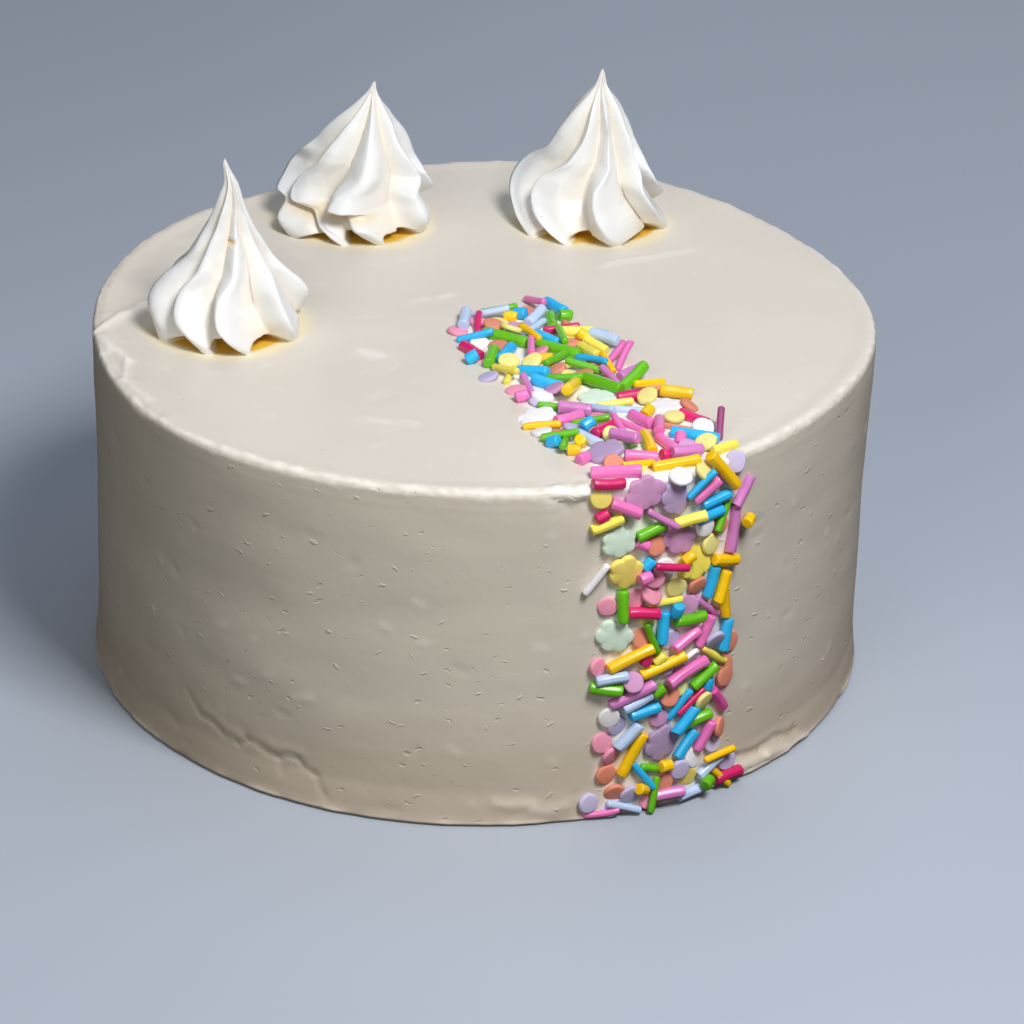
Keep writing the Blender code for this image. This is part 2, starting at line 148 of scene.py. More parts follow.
def dress(piece: bpy.types.Object, material: bpy.types.Material, slot: str, nodes: Sequence[str]) -> None:
    """Gives a piece its finish, lets it ride on the cake, and says which solids it stands for.

    Args:
        piece: The finished piece.
        material: Its only material.
        slot: The record's material slot.
        nodes: The solids that it replaces.
    """
    piece.data.materials.clear()
    piece.data.materials.append(material)
    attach(piece, "root")
    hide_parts(*nodes)
    triangles = sum(len(face.vertices) - 2 for face in piece.data.polygons)
    LOG.info("%s: %d triangles, slot %s, stands for %s", piece.name, triangles, slot, ", ".join(nodes))


def read(items: bpy.types.bpy_prop_collection, name: str) -> np.ndarray:
    """Reads a vector of each item, such as each vertex's place, as one row of three numbers."""
    values = np.zeros(len(items) * 3)
    items.foreach_get(name, values)
    return values.reshape(-1, 3)


def store(piece: bpy.types.Object, name: str, values: np.ndarray) -> None:
    """Keeps one number for each vertex as an attribute that the material reads."""
    layer = piece.data.attributes.new(name, "FLOAT", "POINT")
    layer.data.foreach_set("value", np.asarray(values, np.float32))


class Spread(Enum):
    """Which way a small mark on the icing lies."""

    WALL = "wall"
    TOP = "top"


class Tone(Enum):
    """The sugar's colours as painted, 0 to 255 a channel."""

    WHITE = (240, 239, 247)
    GOLDEN = (255, 204, 10)
    LEMON = (250, 234, 96)
    GREEN = (104, 190, 24)
    BLUE = (44, 184, 246)
    SKY = (190, 212, 248)
    ROSE = (234, 120, 192)
    MAUVE = (214, 132, 202)
    CRIMSON = (214, 34, 108)
    MAGENTA = (224, 84, 168)
    PLUM = (150, 70, 120)
    PINK = (232, 150, 180)
    SALMON = (226, 142, 118)
    OLIVE = (240, 230, 146)
    LILAC = (196, 188, 226)
    MINT = (208, 228, 214)
    ORCHID = (206, 152, 200)
    PURPLE = (176, 152, 192)
    STRAW = (246, 224, 116)


class Tree:
    """A node tree that is built by short calls."""

    def __init__(self, tree: bpy.types.NodeTree) -> None:
        """Takes the tree to build in."""
        self.tree = tree

    def add(self, kind: str, inputs: dict | None = None, **settings: object) -> bpy.types.Node:
        """Adds a node, sets it and joins its inputs.

        Args:
            kind: The node's type, without the ShaderNode that such names start with.
            inputs: Values or other nodes' sockets, by the input's name or number.
            settings: The node's own properties.

        Returns:
            The new node.
        """
        made = self.tree.nodes.new("ShaderNode" + kind)
        for name, value in settings.items():
            setattr(made, name, value)
        self.fill(made, inputs or {})
        return made

    def fill(self, made: bpy.types.Node, inputs: dict) -> None:
        """Joins or sets a node's inputs.

        Args:
            made: The node.
            inputs: Values or other nodes' sockets, by the input's name or number.
        """
        for key, value in inputs.items():
            if isinstance(value, Socket):
                self.tree.links.new(value, made.inputs[key])
            else:
                made.inputs[key].default_value = value

    def group(self, group: bpy.types.NodeTree, **inputs: object) -> Socket:
        """Places a node group and gives its output."""
        return self.add("Group", inputs, node_tree=group).outputs[0]

    def vector(self, operation: str, first: Socket, second: object) -> Socket:
        """One sum of two vectors, or a vector and its scale."""
        key = "Scale" if operation == "SCALE" else 1
        return self.add("VectorMath", {0: first, key: second}, operation=operation).outputs[0]

    def math(self, operation: str, first: object, second: object = 0.0) -> Socket:
        """One sum of two values or sockets."""
        return self.add("Math", {0: first, 1: second}, operation=operation).outputs[0]

    def squares(self, first: Socket, second: Socket) -> Socket:
        """The sum of two squares."""
        return self.math("ADD", self.math("POWER", first, 2.0), self.math("POWER", second, 2.0))

    def step(self, value: Socket, start: float | Socket, end: float | Socket) -> Socket:
        """A smooth rise from 0 at start to 1 at end."""
        sides = {"Value": value, "From Min": start, "From Max": end}
        return self.add("MapRange", sides, interpolation_type="SMOOTHSTEP").outputs[0]

    def mix(self, share: object, first: object, second: object, blend: str = "MIX") -> Socket:
        """A mix of two colours."""
        sides = {0: share, 6: first, 7: second}
        return self.add("Mix", sides, data_type="RGBA", blend_type=blend).outputs[2]


def new_group(
    name: str, output: str, **inputs: float,
) -> tuple[Tree, dict[str, Socket], Callable[[Socket], object]]:
    """Starts a shader node group with an input called Vector and one output, a number.

    Args:
        name: The group's name.
        output: The output's name.
        inputs: The default of each further input.

    Returns:
        The tree, its input sockets by name, and a call that joins the output.
    """
    group = bpy.data.node_groups.new(name, "ShaderNodeTree")
    group.interface.new_socket("Vector", in_out="INPUT", socket_type="NodeSocketVector")
    for label, default in inputs.items():
        socket = group.interface.new_socket(label, in_out="INPUT", socket_type="NodeSocketFloat")
        socket.default_value = default
    group.interface.new_socket(output, in_out="OUTPUT", socket_type="NodeSocketFloat")
    entry, leave = group.nodes.new("NodeGroupInput"), group.nodes.new("NodeGroupOutput")
    sockets = {label: entry.outputs[label] for label in ("Vector", *inputs)}
    return Tree(group), sockets, lambda socket: group.links.new(socket, leave.inputs[output])


class Effects:
    """The shader node groups that more than one finish uses, each built once."""

    def __init__(self) -> None:
        """Builds the groups."""
        self.specks = self.build_specks()
        self.grain = self.build_grain()
        self.nicks = self.build_nicks()
        self.drift = self.build_drift()

    @staticmethod
    def build_specks() -> bpy.types.NodeTree:
        """Vanilla specks: sparse dark dots.

        Returns:
            The group. Spacing is the mean distance between cells, Size a dot's radius, both in
            metres, and Share the part of the cells that hold a dot.
        """
        tree, inlet, finish = new_group("vanilla_specks", "Mask", Spacing=0.004, Size=0.0003, Share=0.4)
        scale = tree.math("DIVIDE", 1.0, inlet["Spacing"])
        cells = tree.add("TexVoronoi", {"Vector": inlet["Vector"], "Scale": scale})
        chance = tree.add("SeparateColor", {0: cells.outputs["Color"]}).outputs[0]
        size = tree.math("DIVIDE", inlet["Size"], inlet["Spacing"])
        varied = tree.math("MULTIPLY", size, tree.math("ADD", 0.6, chance))
        dot = tree.step(cells.outputs["Distance"], varied, tree.math("MULTIPLY", varied, 0.5))
        finish(tree.math("MULTIPLY", dot, tree.math("LESS_THAN", chance, inlet["Share"])))
        return tree.tree

    @staticmethod
    def build_grain() -> bpy.types.NodeTree:
        """Whipped grain: soft ripples, small pits where bubbles broke, and small raised flecks.

        Returns:
            The group. Grain, Pit and Fleck are widths in metres, and Height is about -1 to 1.
        """
        tree, inlet, finish = new_group(
            "whipped_grain", "Height", Grain=0.002, Pit=0.0005, Fleck=0.0007, Share=0.3,
        )
        place = inlet["Vector"]
        scale = tree.math("DIVIDE", 1.0, inlet["Grain"])
        soft = tree.add("TexNoise", {"Vector": place, "Scale": scale, "Detail": 2.0, "Roughness": 0.6})
        height = tree.math("MULTIPLY", tree.math("SUBTRACT", soft.outputs["Fac"], 0.5), 0.7)
        for label, sign, spread in (("Pit", -1.0, 9.0), ("Fleck", 0.8, 11.0)):
            scale = tree.math("DIVIDE", 1.0, tree.math("MULTIPLY", inlet[label], spread))
            cells = tree.add("TexVoronoi", {"Vector": place, "Scale": scale})
            chance = tree.add("SeparateColor", {0: cells.outputs["Color"]}).outputs[1]
            reach = tree.math("MULTIPLY", tree.math("ADD", chance, 0.4), 1.3 / spread)
            dot = tree.step(cells.outputs["Distance"], reach, 0.0)
            dot = tree.math("MULTIPLY", dot, tree.math("LESS_THAN", chance, inlet["Share"]))
            height = tree.math("ADD", height, tree.math("MULTIPLY", dot, sign))
        finish(height)
        return tree.tree

    @staticmethod
    def build_nicks() -> bpy.types.NodeTree:
        """Spatula nicks: short flat marks across Z with ragged edges, some pressed in, some raised.

        Returns:
            The group. Spacing, Length and Width are in metres, Share is the part of the cells that
            hold a mark, and Height is -1 to 1.
        """
        tree, inlet, finish = new_group(
            "spatula_nicks", "Height", Spacing=0.006, Length=0.0014, Width=0.0004, Share=0.5,
        )
        raggedness, ragged_scale = 1.4 * MM, 700.0
        ragged = tree.add("TexNoise", {"Vector": inlet["Vector"], "Scale": ragged_scale, "Detail": 1.0})
        offset = tree.vector("SUBTRACT", ragged.outputs["Color"], (0.5, 0.5, 0.5))
        place = tree.vector("ADD", inlet["Vector"], tree.vector("SCALE", offset, raggedness))
        scale = tree.math("DIVIDE", 1.0, inlet["Spacing"])
        cells = tree.add("TexVoronoi", {"Vector": place, "Scale": scale})
        local = tree.vector("SUBTRACT", place, cells.outputs["Position"])
        x, y, z = tree.add("SeparateXYZ", {0: local}).outputs
        slant, random_size, side = tree.add("SeparateColor", {0: cells.outputs["Color"]}).outputs
        flat = tree.math("SQRT", tree.squares(x, y))
        tilt = tree.math("MULTIPLY", tree.math("SUBTRACT", slant, 0.5), tree.math("MULTIPLY", x, 1.4))
        size = tree.math("ADD", 0.5, random_size)
        along = tree.math("DIVIDE", flat, tree.math("MULTIPLY", inlet["Length"], size))
        over = tree.math("DIVIDE", tree.math("ADD", z, tilt), tree.math("MULTIPLY", inlet["Width"], size))
        mark = tree.step(tree.squares(along, over), 1.0, 0.1)
        mark = tree.math("MULTIPLY", mark, tree.math("LESS_THAN", random_size, inlet["Share"]))
        raised = tree.math("MULTIPLY", tree.math("GREATER_THAN", side, 0.45), 2.0)
        finish(tree.math("MULTIPLY", mark, tree.math("SUBTRACT", raised, 1.0)))
        return tree.tree

    @staticmethod
    def build_drift() -> bpy.types.NodeTree:
        """Slow drift of tone over a surface.

        Returns:
            The group. Size is the drift's width in metres, and Value runs round 0, Amount each way.
        """
        tree, inlet, finish = new_group("tone_drift", "Value", Size=0.03, Amount=0.03)
        scale = tree.math("DIVIDE", 1.0, inlet["Size"])
        slow = tree.add("TexNoise", {"Vector": inlet["Vector"], "Scale": scale, "Detail": 2.0})
        centred = tree.math("MULTIPLY", tree.math("SUBTRACT", slow.outputs["Fac"], 0.5), 4.0)
        finish(tree.math("MULTIPLY", centred, inlet["Amount"]))
        return tree.tree


def new_material(name: str) -> tuple[bpy.types.Material, Tree, bpy.types.Node]:
    """Starts a material with a Principled shader.

    Args:
        name: The material's name.

    Returns:
        The material, its tree and the shader.
    """
    material = bpy.data.materials.new(name)
    material.use_nodes = True
    return material, Tree(material.node_tree), material.node_tree.nodes["Principled BSDF"]


@dataclass(frozen=True)
class CreamFinish:
    """Whipped buttercream: soft, a little glossy, with vanilla specks and spatula nicks."""

    name: str
    paint: tuple[int, int, int]
    # Paints of the painted highlight, of the painted glow and fold shade, and of the painted amber shade
    highlight_and_smear_paint: tuple[int, int, int]
    glow_and_fold_shade_paint: tuple[int, int, int]
    amber_shade_paint: tuple[int, int, int]
    drift_size: float = 30.0 * MM
    drift: float = 0.025
    speck_paint: tuple[int, int, int] = (120, 98, 74)
    speck_spacing: float = 3.4 * MM
    speck_size: float = 0.27 * MM
    speck_share: float = 0.14
    speck_strength: float = 0.8
    roughness: float = 0.45
    coat: float = 0.1
    soak: float = 0.0
    soak_depth: float = 3.0 * MM
    grain: float = 3.2 * MM
    pit: float = 0.45 * MM
    fleck: float = 0.6 * MM
    mark_share: float = 0.4
    relief: float = 0.07 * MM
    nick_spacing: float = 4.6 * MM
    nick_depth: float = 0.12 * MM
    nick_length: float = 1.2 * MM
    nick_width: float = 0.5 * MM
    nick_share: float = 0.62
    top_nick_depth: float = 0.3
    # Painted shade towards the base: how strong, its tint, and the height where it starts
    painted_base_shade: float = 0.0
    painted_base_shade_tint: tuple[float, float, float] = (0.80, 0.66, 0.56)
    foot_height: float = 38.0 * MM

    def material(self, effects: Effects) -> bpy.types.Material:
        """Builds the material. It reads three attributes, 0 to 1 a vertex: the painted highlight with the
        lighter smear, the painted glow and shade, and wall.

        Args:
            effects: The shared node groups.

        Returns:
            The material.
        """
        material, tree, shader = new_material(self.name)
        place = tree.add("TexCoord").outputs["Object"]
        axes = tree.add("SeparateXYZ", {0: place}).outputs
        turned = tree.add("CombineXYZ", {0: axes[0], 1: axes[2], 2: axes[1]}).outputs[0]
        bright, painted_glow_and_shade, wall = (
            tree.add("Attribute", attribute_name=name).outputs["Fac"] for name in ("bright", "painted_glow_and_shade", "wall")
        )
        lying = tree.add("Mix", {0: wall, 4: turned, 5: place}, data_type="VECTOR").outputs[1]
        paint, highlight_and_smear_paint, glow_and_fold_shade_paint, amber_shade_paint, speck_paint = (
            (*linear(paint), 1.0)
            for paint in (self.paint, self.highlight_and_smear_paint, self.glow_and_fold_shade_paint, self.amber_shade_paint, self.speck_paint)
        )
        # Painted highlight on the lip and the base bead, mixed with the lighter smear round the sprinkles
        colour = tree.mix(bright, paint, highlight_and_smear_paint)
        # Painted glow round the swirls' toes, and painted shade in folds, arches and under the toes
        colour = tree.mix(tree.step(painted_glow_and_shade, 0.0, 0.5), colour, glow_and_fold_shade_paint)
        colour = tree.mix(tree.step(painted_glow_and_shade, 0.5, 1.0), colour, amber_shade_paint)
        # Painted shade: darker and warmer towards the base
        low = tree.math("MULTIPLY", tree.step(axes[2], self.foot_height, 0.0), self.painted_base_shade)
        colour = tree.mix(low, colour, (*self.painted_base_shade_tint, 1.0), "MULTIPLY")
        drift = tree.group(effects.drift, Vector=place, Size=self.drift_size, Amount=self.drift)
        tint = tree.add("HueSaturation", {"Color": colour, "Value": tree.math("ADD", 1.0, drift)})
        specks = tree.group(
            effects.specks, Vector=place, Spacing=self.speck_spacing, Size=self.speck_size,
            Share=self.speck_share,
        )
        faint = tree.math("MULTIPLY", specks, self.speck_strength)
        grain = tree.group(
            effects.grain, Vector=place, Grain=self.grain, Pit=self.pit, Fleck=self.fleck,
            Share=self.mark_share,
        )
        nicks = tree.group(
            effects.nicks, Vector=lying, Spacing=self.nick_spacing, Length=self.nick_length,
            Width=self.nick_width, Share=self.nick_share,
        )
        more = tree.math("MULTIPLY", wall, 1.0 - self.top_nick_depth)
        depth = tree.math("MULTIPLY", tree.math("ADD", self.top_nick_depth, more), self.nick_depth)
        height = tree.math("MULTIPLY", grain, self.relief)
        height = tree.math("ADD", height, tree.math("MULTIPLY", nicks, depth))
        tree.fill(shader, {
            "Base Color": tree.mix(faint, tint.outputs["Color"], speck_paint),
            "Roughness": tree.math("ADD", self.roughness, tree.math("MULTIPLY", drift, 2.0)),
            "Normal": tree.add("Bump", {"Height": height, "Distance": 1.0, "Strength": 1.0}).outputs[0],
            "Subsurface Weight": self.soak,
            "Subsurface Radius": (1.0, 0.82, 0.45),
            "Subsurface Scale": self.soak_depth,
            "Coat Weight": self.coat,
            "Coat Roughness": 0.3,
            "IOR": 1.45,
        })
        return material


@dataclass(frozen=True)
class SugarFinish:
    """Coloured sugar: glossy fluted strands, or matte pressed shapes with a dusty grain."""

    name: str
    roughness: float
    coat: float
    grain: float
    relief: float
    fading: float
    fading_size: float = 1.6 * MM

    def material(self, effects: Effects) -> bpy.types.Material:
        """Builds the material. It reads the colour attribute sugar.

        Args:
            effects: The shared node groups.

        Returns:
            The material.
        """
        material, tree, shader = new_material(self.name)
        place = tree.add("TexCoord").outputs["Object"]
        sugar = tree.add("Attribute", attribute_name="sugar").outputs["Color"]
        drift = tree.group(effects.drift, Vector=place, Size=self.fading_size, Amount=self.fading)
        tint = tree.add("HueSaturation", {"Color": sugar, "Value": tree.math("ADD", 1.0, drift)})
        height = tree.group(
            effects.grain, Vector=place, Grain=self.grain, Pit=self.grain, Fleck=self.grain, Share=0.5,
        )
        bump = tree.add("Bump", {"Height": height, "Distance": self.relief, "Strength": 1.0})
        tree.fill(shader, {
            "Base Color": tint.outputs["Color"],
            "Roughness": tree.math("ADD", self.roughness, tree.math("MULTIPLY", drift, 1.5)),
            "Normal": bump.outputs[0],
            "Coat Weight": self.coat,
            "Coat Roughness": 0.18,
        })
        return material


@dataclass(frozen=True)
class Stroke:
    """A ridge, or a groove where its height is below zero, that was left by the spatula.

    On the wall the ends are (azimuth in degrees, height in millimetres), and on the top
    (x, y) in millimetres. Width and height are in millimetres.
    """

    side: Spread
    start: tuple[float, float]
    end: tuple[float, float]
    width: float
    height: float
    # How much painted highlight the stroke gets
    bright: float = 0.0


# The spatula's strokes, as in Stroke: both ends, the width, the height and the painted highlight
STROKES = {
    Spread.TOP: (
        ((-95.4, -15.0), (-83.1, 2.8), 1.1, 0.6, 0.4), ((-91.5, -6.0), (-79.0, 10.0), 3.0, 0.25, 0.0),
        ((-93.7, -18.4), (-85.6, -31.6), 1.2, 0.45, 0.4), ((-91.0, -28.0), (-86.0, -40.0), 1.6, -0.5, 0.0),
        ((-85.6, -31.6), (-86.4, -41.8), 1.0, 0.4, 0.3), ((-86.4, -41.8), (-78.9, -52.4), 1.1, 0.4, 0.3),
        ((-82.0, -54.0), (-77.0, -60.0), 1.4, -0.45, 0.0), ((-28.0, -60.0), (-15.0, -62.0), 1.2, 0.22, 0.3),
        ((-26.0, -49.0), (-22.0, -47.0), 1.6, -0.3, 0.0), ((-17.0, 8.0), (-8.0, 13.0), 0.8, 0.25, 0.4),
        ((30.0, 34.0), (52.0, 44.0), 1.3, 0.3, 0.2), ((-30.0, -22.0), (-24.0, -24.0), 1.6, 0.35, 0.5),
    ),
    Spread.WALL: (
        ((-42.0, 16.0), (-35.0, 13.2), 1.0, 0.12, 0.12), ((-31.0, 14.0), (-25.0, 13.8), 1.0, 0.12, 0.12),
        ((-28.5, 11.4), (-28.0, 7.0), 0.5, -0.2, 0.0), ((41.0, 6.1), (57.0, 4.6), 0.6, -0.8, 0.0),
        ((38.0, 3.0), (49.0, 2.4), 1.3, 0.7, 0.8), ((49.0, 2.4), (60.0, 0.8), 1.0, 0.5, 0.8),
        ((4.0, 6.5), (9.0, 5.0), 1.2, 0.4, 0.4), ((9.0, 3.5), (14.0, 4.5), 1.2, 0.35, 0.4),
    ),
}


@dataclass(frozen=True)
class Skin:
    """The icing's vertices: where each lies, how far in from the rim, and how far below the top."""

    places: np.ndarray
    inward: np.ndarray
    drop: np.ndarray

    @property
    def azimuth(self) -> np.ndarray:
        """Each vertex's azimuth, in radians."""
        return np.arctan2(self.places[:, 0], -self.places[:, 1])

    @property
    def on_wall(self) -> np.ndarray:
        """1 on the wall and 0 on the top."""
        return ramp(self.drop, 0.5 * MM, 2.5 * MM)


@dataclass
class IcedCake:
    """The iced cake without its sprinkles: its outline, its raised lip and the icing's relief.

    Waves hold (how many go round the cake, cosine part, sine part). The crack runs down the wall
    as (azimuth, height) in degrees and millimetres, and crack_heights has one for each run.
    """

    rim_radius: float = 97.0 * MM
    base_radius: float = 96.1 * MM
    height: float = 89.6 * MM
    lip_overhang: float = 0.9 * MM
    lip_rise: float = 0.4 * MM
    lip_drop: float = 4.0 * MM
    foot_flare: float = 0.6 * MM
    foot_height: float = 9.0 * MM
    rim_waves: Waves = (
        (2, -0.6 * MM, 1.7 * MM), (3, -0.3 * MM, -0.35 * MM), (4, 0.45 * MM, -0.45 * MM),
        (5, 0.9 * MM, 0.5 * MM),
    )
    base_waves: Waves = ((2, 0.2 * MM, 0.5 * MM), (3, 0.2 * MM, 0.35 * MM))
    steps: int = 624
    base_gap: float = 50.0 * MM
    edge_gap: float = 0.5 * MM
    inner_gap: float = 2.2 * MM
    outer_gap: float = 1.4 * MM
    wall_gap: float = 1.05 * MM
    corner_reach: float = 2.5 * MM
    wall_swell: float = 0.2 * MM
    top_swell: float = 0.22 * MM
    swell_size: float = 26.0 * MM
    band_height: float = 0.02 * MM
    band_size: float = 22.0 * MM
    coarse_size: float = 9.0 * MM
    fine_size: float = 2.2 * MM
    lip_rough: float = 0.17 * MM
    crest_inset: float = 1.0 * MM
    crest_width: float = 2.0 * MM
    nose_drop: float = 1.1 * MM
    softened: float = 40.0 * MM
    band_azimuth: float = 25.0
    band_half_angle: tuple[float, float] = (11.0, 15.0)
    # The painted highlight along the lip: its width, and where it is widest
    line_width: float = 1.2 * MM
    line_azimuth: float = 5.0
    line_half_angle: tuple[float, float] = (75.0, 30.0)
    patch_start: tuple[float, float] = (8.0, 10.5)
    patch_end: tuple[float, float] = (18.5, 16.0)
    patch_height: float = 0.9 * MM
    patch_reach: float = 5.0 * MM
    patch_size: float = 3.4 * MM
    crumb_size: float = 1.8 * MM
    bead: float = 0.6 * MM
    # How far the painted glow reaches past the swirls' toes, and its share against the painted shade under
    # them
    toe_glow_reach: float = 5.0 * MM
    toe_glow: float = 0.42
    wobble: float = 1.1 * MM
    nick_seed: int = 5
    wall_nicks: int = 150
    wall_levels: tuple[float, float] = (3.0, 86.0)
    top_nicks: int = 90
    top_reach: float = 88.0
    crack: tuple[tuple[float, float], ...] = (
        (-45.8, 18.8), (-42.6, 14.1), (-40.6, 13.7), (-38.4, 11.2), (-35.7, 10.6), (-33.8, 12.9),
        (-29.0, 11.4), (-25.4, 12.3), (-24.2, 9.4), (-22.5, 8.6), (-21.3, 3.5),
    )
    crack_heights: tuple[float, ...] = (-0.3, -0.42, -0.36, -0.3, -0.42, -0.36, -0.42, -0.42, -0.36, -0.36)
    crack_width: float = 0.5

    def outline_shift(self, angle: np.ndarray | float, height: np.ndarray | float) -> np.ndarray | float:
        """How far the icing at this height is pushed out from a true circle.

        Args:
            angle: The angle round Z from +X, in radians.
            height: The height above the base.

        Returns:
            The distance, for one place or for an array of them.
        """
        share = np.clip(height / self.height, 0.0, 1.0)
        rim = sum(c * np.cos(k * angle) + s * np.sin(k * angle) for k, c, s in self.rim_waves)
        base = sum(c * np.cos(k * angle) + s * np.sin(k * angle) for k, c, s in self.base_waves)
        return share * rim + (1.0 - share) * base

    def section(self) -> list[tuple[float, float]]:
        """The icing's section as (radius, height): the top, the raised lip, the wall and the foot."""
        wall_top = self.rim_radius - self.lip_overhang
        foot = self.base_radius - self.foot_flare
        return [
            (0.0, self.height),
            (self.rim_radius - 24.0 * MM, self.height),
            (self.rim_radius - 6.0 * MM, self.height),
            (self.rim_radius - 2.4 * MM, self.height + self.lip_rise),
            (self.rim_radius - 0.6 * MM, self.height),
            (self.rim_radius, self.height - self.nose_drop),
            (wall_top, self.height - self.lip_drop),
            (0.5 * (wall_top + foot), 0.5 * self.height),
            (foot, self.foot_height),
            (self.base_radius, 1.6 * MM),
            (self.base_radius - 0.7 * MM, 0.0),
            (0.0, 0.0),
        ]

    def wall_radius(self, angle: float, height: float) -> float:
        """The icing's radius on the side.

        Args:
            angle: The angle round Z from +X, in radians.
            height: The height above the base.

        Returns:
            The radius.
        """
        outer = sorted((z, r) for r, z in self.section()[5:11])
        plain = np.interp(height, [z for z, _ in outer], [r for _, r in outer])
        return float(plain) + float(self.outline_shift(angle, height))

    def row_gap(self, radius: float, height: float) -> float:
        """How far apart the rows lie here: close at the lip and the foot, wide on the inner top.

        Args:
            radius: Where on the section.
            height: Where on the section.

        Returns:
            The distance.
        """
        if height < 0.5 * MM:
            return self.base_gap
        on_lip = radius > self.rim_radius - 6.5 * MM and height > self.height - self.lip_drop
        if height < 3.0 * MM or on_lip:
            return self.edge_gap
        if height > self.height - 1.0 * MM:
            return self.inner_gap if radius < self.rim_radius - 20.0 * MM else self.outer_gap
        return self.wall_gap

    def form(self) -> bmesh.types.BMesh:
        """Turns the section, its lip rounded, into the plain body.

        Returns:
            The closed body, before its outline and its relief.
        """
        corners = [Vector(corner) for corner in self.section()]
        rows = [corners[0]]
        for upper, lower in zip(corners, corners[1:]):
            middle = (upper + lower) / 2.0
            cuts = 1 + int((lower - upper).length / self.row_gap(middle.x, middle.y))
            rows.extend(upper.lerp(lower, cut / cuts) for cut in range(1, cuts + 1))
        lip_start = self.rim_radius - 7.0 * MM
        eased = [
            (rows[i - 1] + 2.0 * row + rows[i + 1]) / 4.0
            if row.x > lip_start and row.y > 0.9 * self.height else row
            for i, row in enumerate(rows)
        ]
        return revolve([(row.x, row.y) for row in eased], self.steps)

    def build(
        self, swirls: Sequence["PipedSwirl"], smear: Callable[[np.ndarray], np.ndarray],
    ) -> bpy.types.Object:
        """Builds the icing with its relief and three attributes: its painted highlight with the lighter
        smear, its painted glow and shade, and wall.

        Args:
            swirls: The swirls, under which the top stays flat.
            smear: Says where fresh icing holds the sprinkles, 0 to 1.

        Returns:
            The piece.
        """
        piece = new_piece("iced_cake", self.form())
        places = read(piece.data.vertices, "co")
        radius = np.hypot(places[:, 0], places[:, 1])
        angle = np.arctan2(places[:, 1], places[:, 0])
        moved = ramp(radius, 0.3 * self.rim_radius, 0.7 * self.rim_radius)
        share = 1.0 + moved * self.outline_shift(angle, places[:, 2]) / self.rim_radius
        places[:, 0] *= share
        places[:, 1] *= share
        inward = np.maximum(self.rim_radius - radius, 0.0)
        drop = np.maximum(self.height - places[:, 2], 0.0)
        relief, bright, painted_glow_and_shade = self.relief(Skin(places, inward, drop), swirls, smear(places))
        out = np.clip(1.0 - inward / self.corner_reach, 0.0, 1.0)
        up = np.clip(1.0 - drop / self.corner_reach, 0.0, 1.0)
        below = (places[:, 2] < 0.3 * MM) & (inward > 2.0 * MM)
        length = np.maximum(np.hypot(out, up), 1e-6)
        relief = np.where(below, 0.0, relief)
        places[:, 0] += relief * out / length * np.cos(angle)
        places[:, 1] += relief * out / length * np.sin(angle)
        places[:, 2] += relief * up / length
        places[:, 2] = np.maximum(places[:, 2], 0.0)
        piece.data.vertices.foreach_set("co", places.ravel())
        store(piece, "bright", bright)
        store(piece, "painted_glow_and_shade", painted_glow_and_shade)
        store(piece, "wall", np.where(up < out, 1.0, 0.0))
        piece.data.update()
        return piece

    def relief(
        self, skin: Skin, swirls: Sequence["PipedSwirl"], smeared: np.ndarray,
    ) -> tuple[np.ndarray, np.ndarray, np.ndarray]:
        """The icing's relief, painted highlight and painted glow and shade: swell, ragged lip, strokes,
        nicks and the bead round the base.

        Args:
            skin: The vertices.
            swirls: The swirls that stand on the top.
            smeared: Where fresh icing holds the sprinkles, 0 to 1.

        Returns:
            The height of the relief, the painted highlight with the lighter smear round the sprinkles, and
            the painted glow and shade round the swirls' toes.
        """
        places, on_wall = skin.places, skin.on_wall
        swell = np.where(on_wall > 0.5, self.wall_swell, self.top_swell)
        relief = swell * rough(places * np.array([1.0, 1.0, 1.7]), self.swell_size, seed=1.0)
        flattened = places * np.array([0.6, 0.6, 6.0])
        relief += on_wall * self.band_height * rough(flattened, self.band_size, seed=4.0)
        lip, bright = self.lip(skin)
        relief += lip
        bright += smeared * (0.8 + 0.5 * rough(places, 6.0 * MM, seed=21.0))
        edge = np.clip(1.0 + 0.9 * rough(places, 12.0 * MM, seed=15.0, octaves=3), 0.1, 1.8)
        # The bead round the base, with a painted highlight along it
        foot = np.exp(-((places[:, 2] - self.bead) / (0.7 * MM)) ** 2) * (skin.inward < 4.0 * MM)
        relief += foot * self.bead * edge
        bright += foot * np.clip(0.8 * edge, 0.0, 1.0)
        marks, mark_highlight = self.marks(skin)
        relief += marks
        bright += mark_highlight
        painted_glow_and_shade = np.zeros(len(places))
        for swirl in swirls:
            x, y = places[:, 0] - swirl.foot[0], places[:, 1] - swirl.foot[1]
            away, toes = np.hypot(x, y), swirl.toe_reach(np.arctan2(y, x))
            flat = 1.0 - ramp(away, swirl.radius, swirl.radius + 5.0 * MM)
            relief *= 1.0 - flat * (1.0 - on_wall)
            # Painted glow just past the swirls' toes and painted amber shade under them
            glow = ramp(away, toes + self.toe_glow_reach, toes - 1.0 * MM)
            shade = ramp(away, 0.95 * toes, 0.85 * toes)
            near = self.toe_glow * glow + (1.0 - self.toe_glow) * shade
            painted_glow_and_shade = np.maximum(painted_glow_and_shade, near * (1.0 - on_wall))
        return relief, np.clip(bright, 0.0, 1.0), painted_glow_and_shade

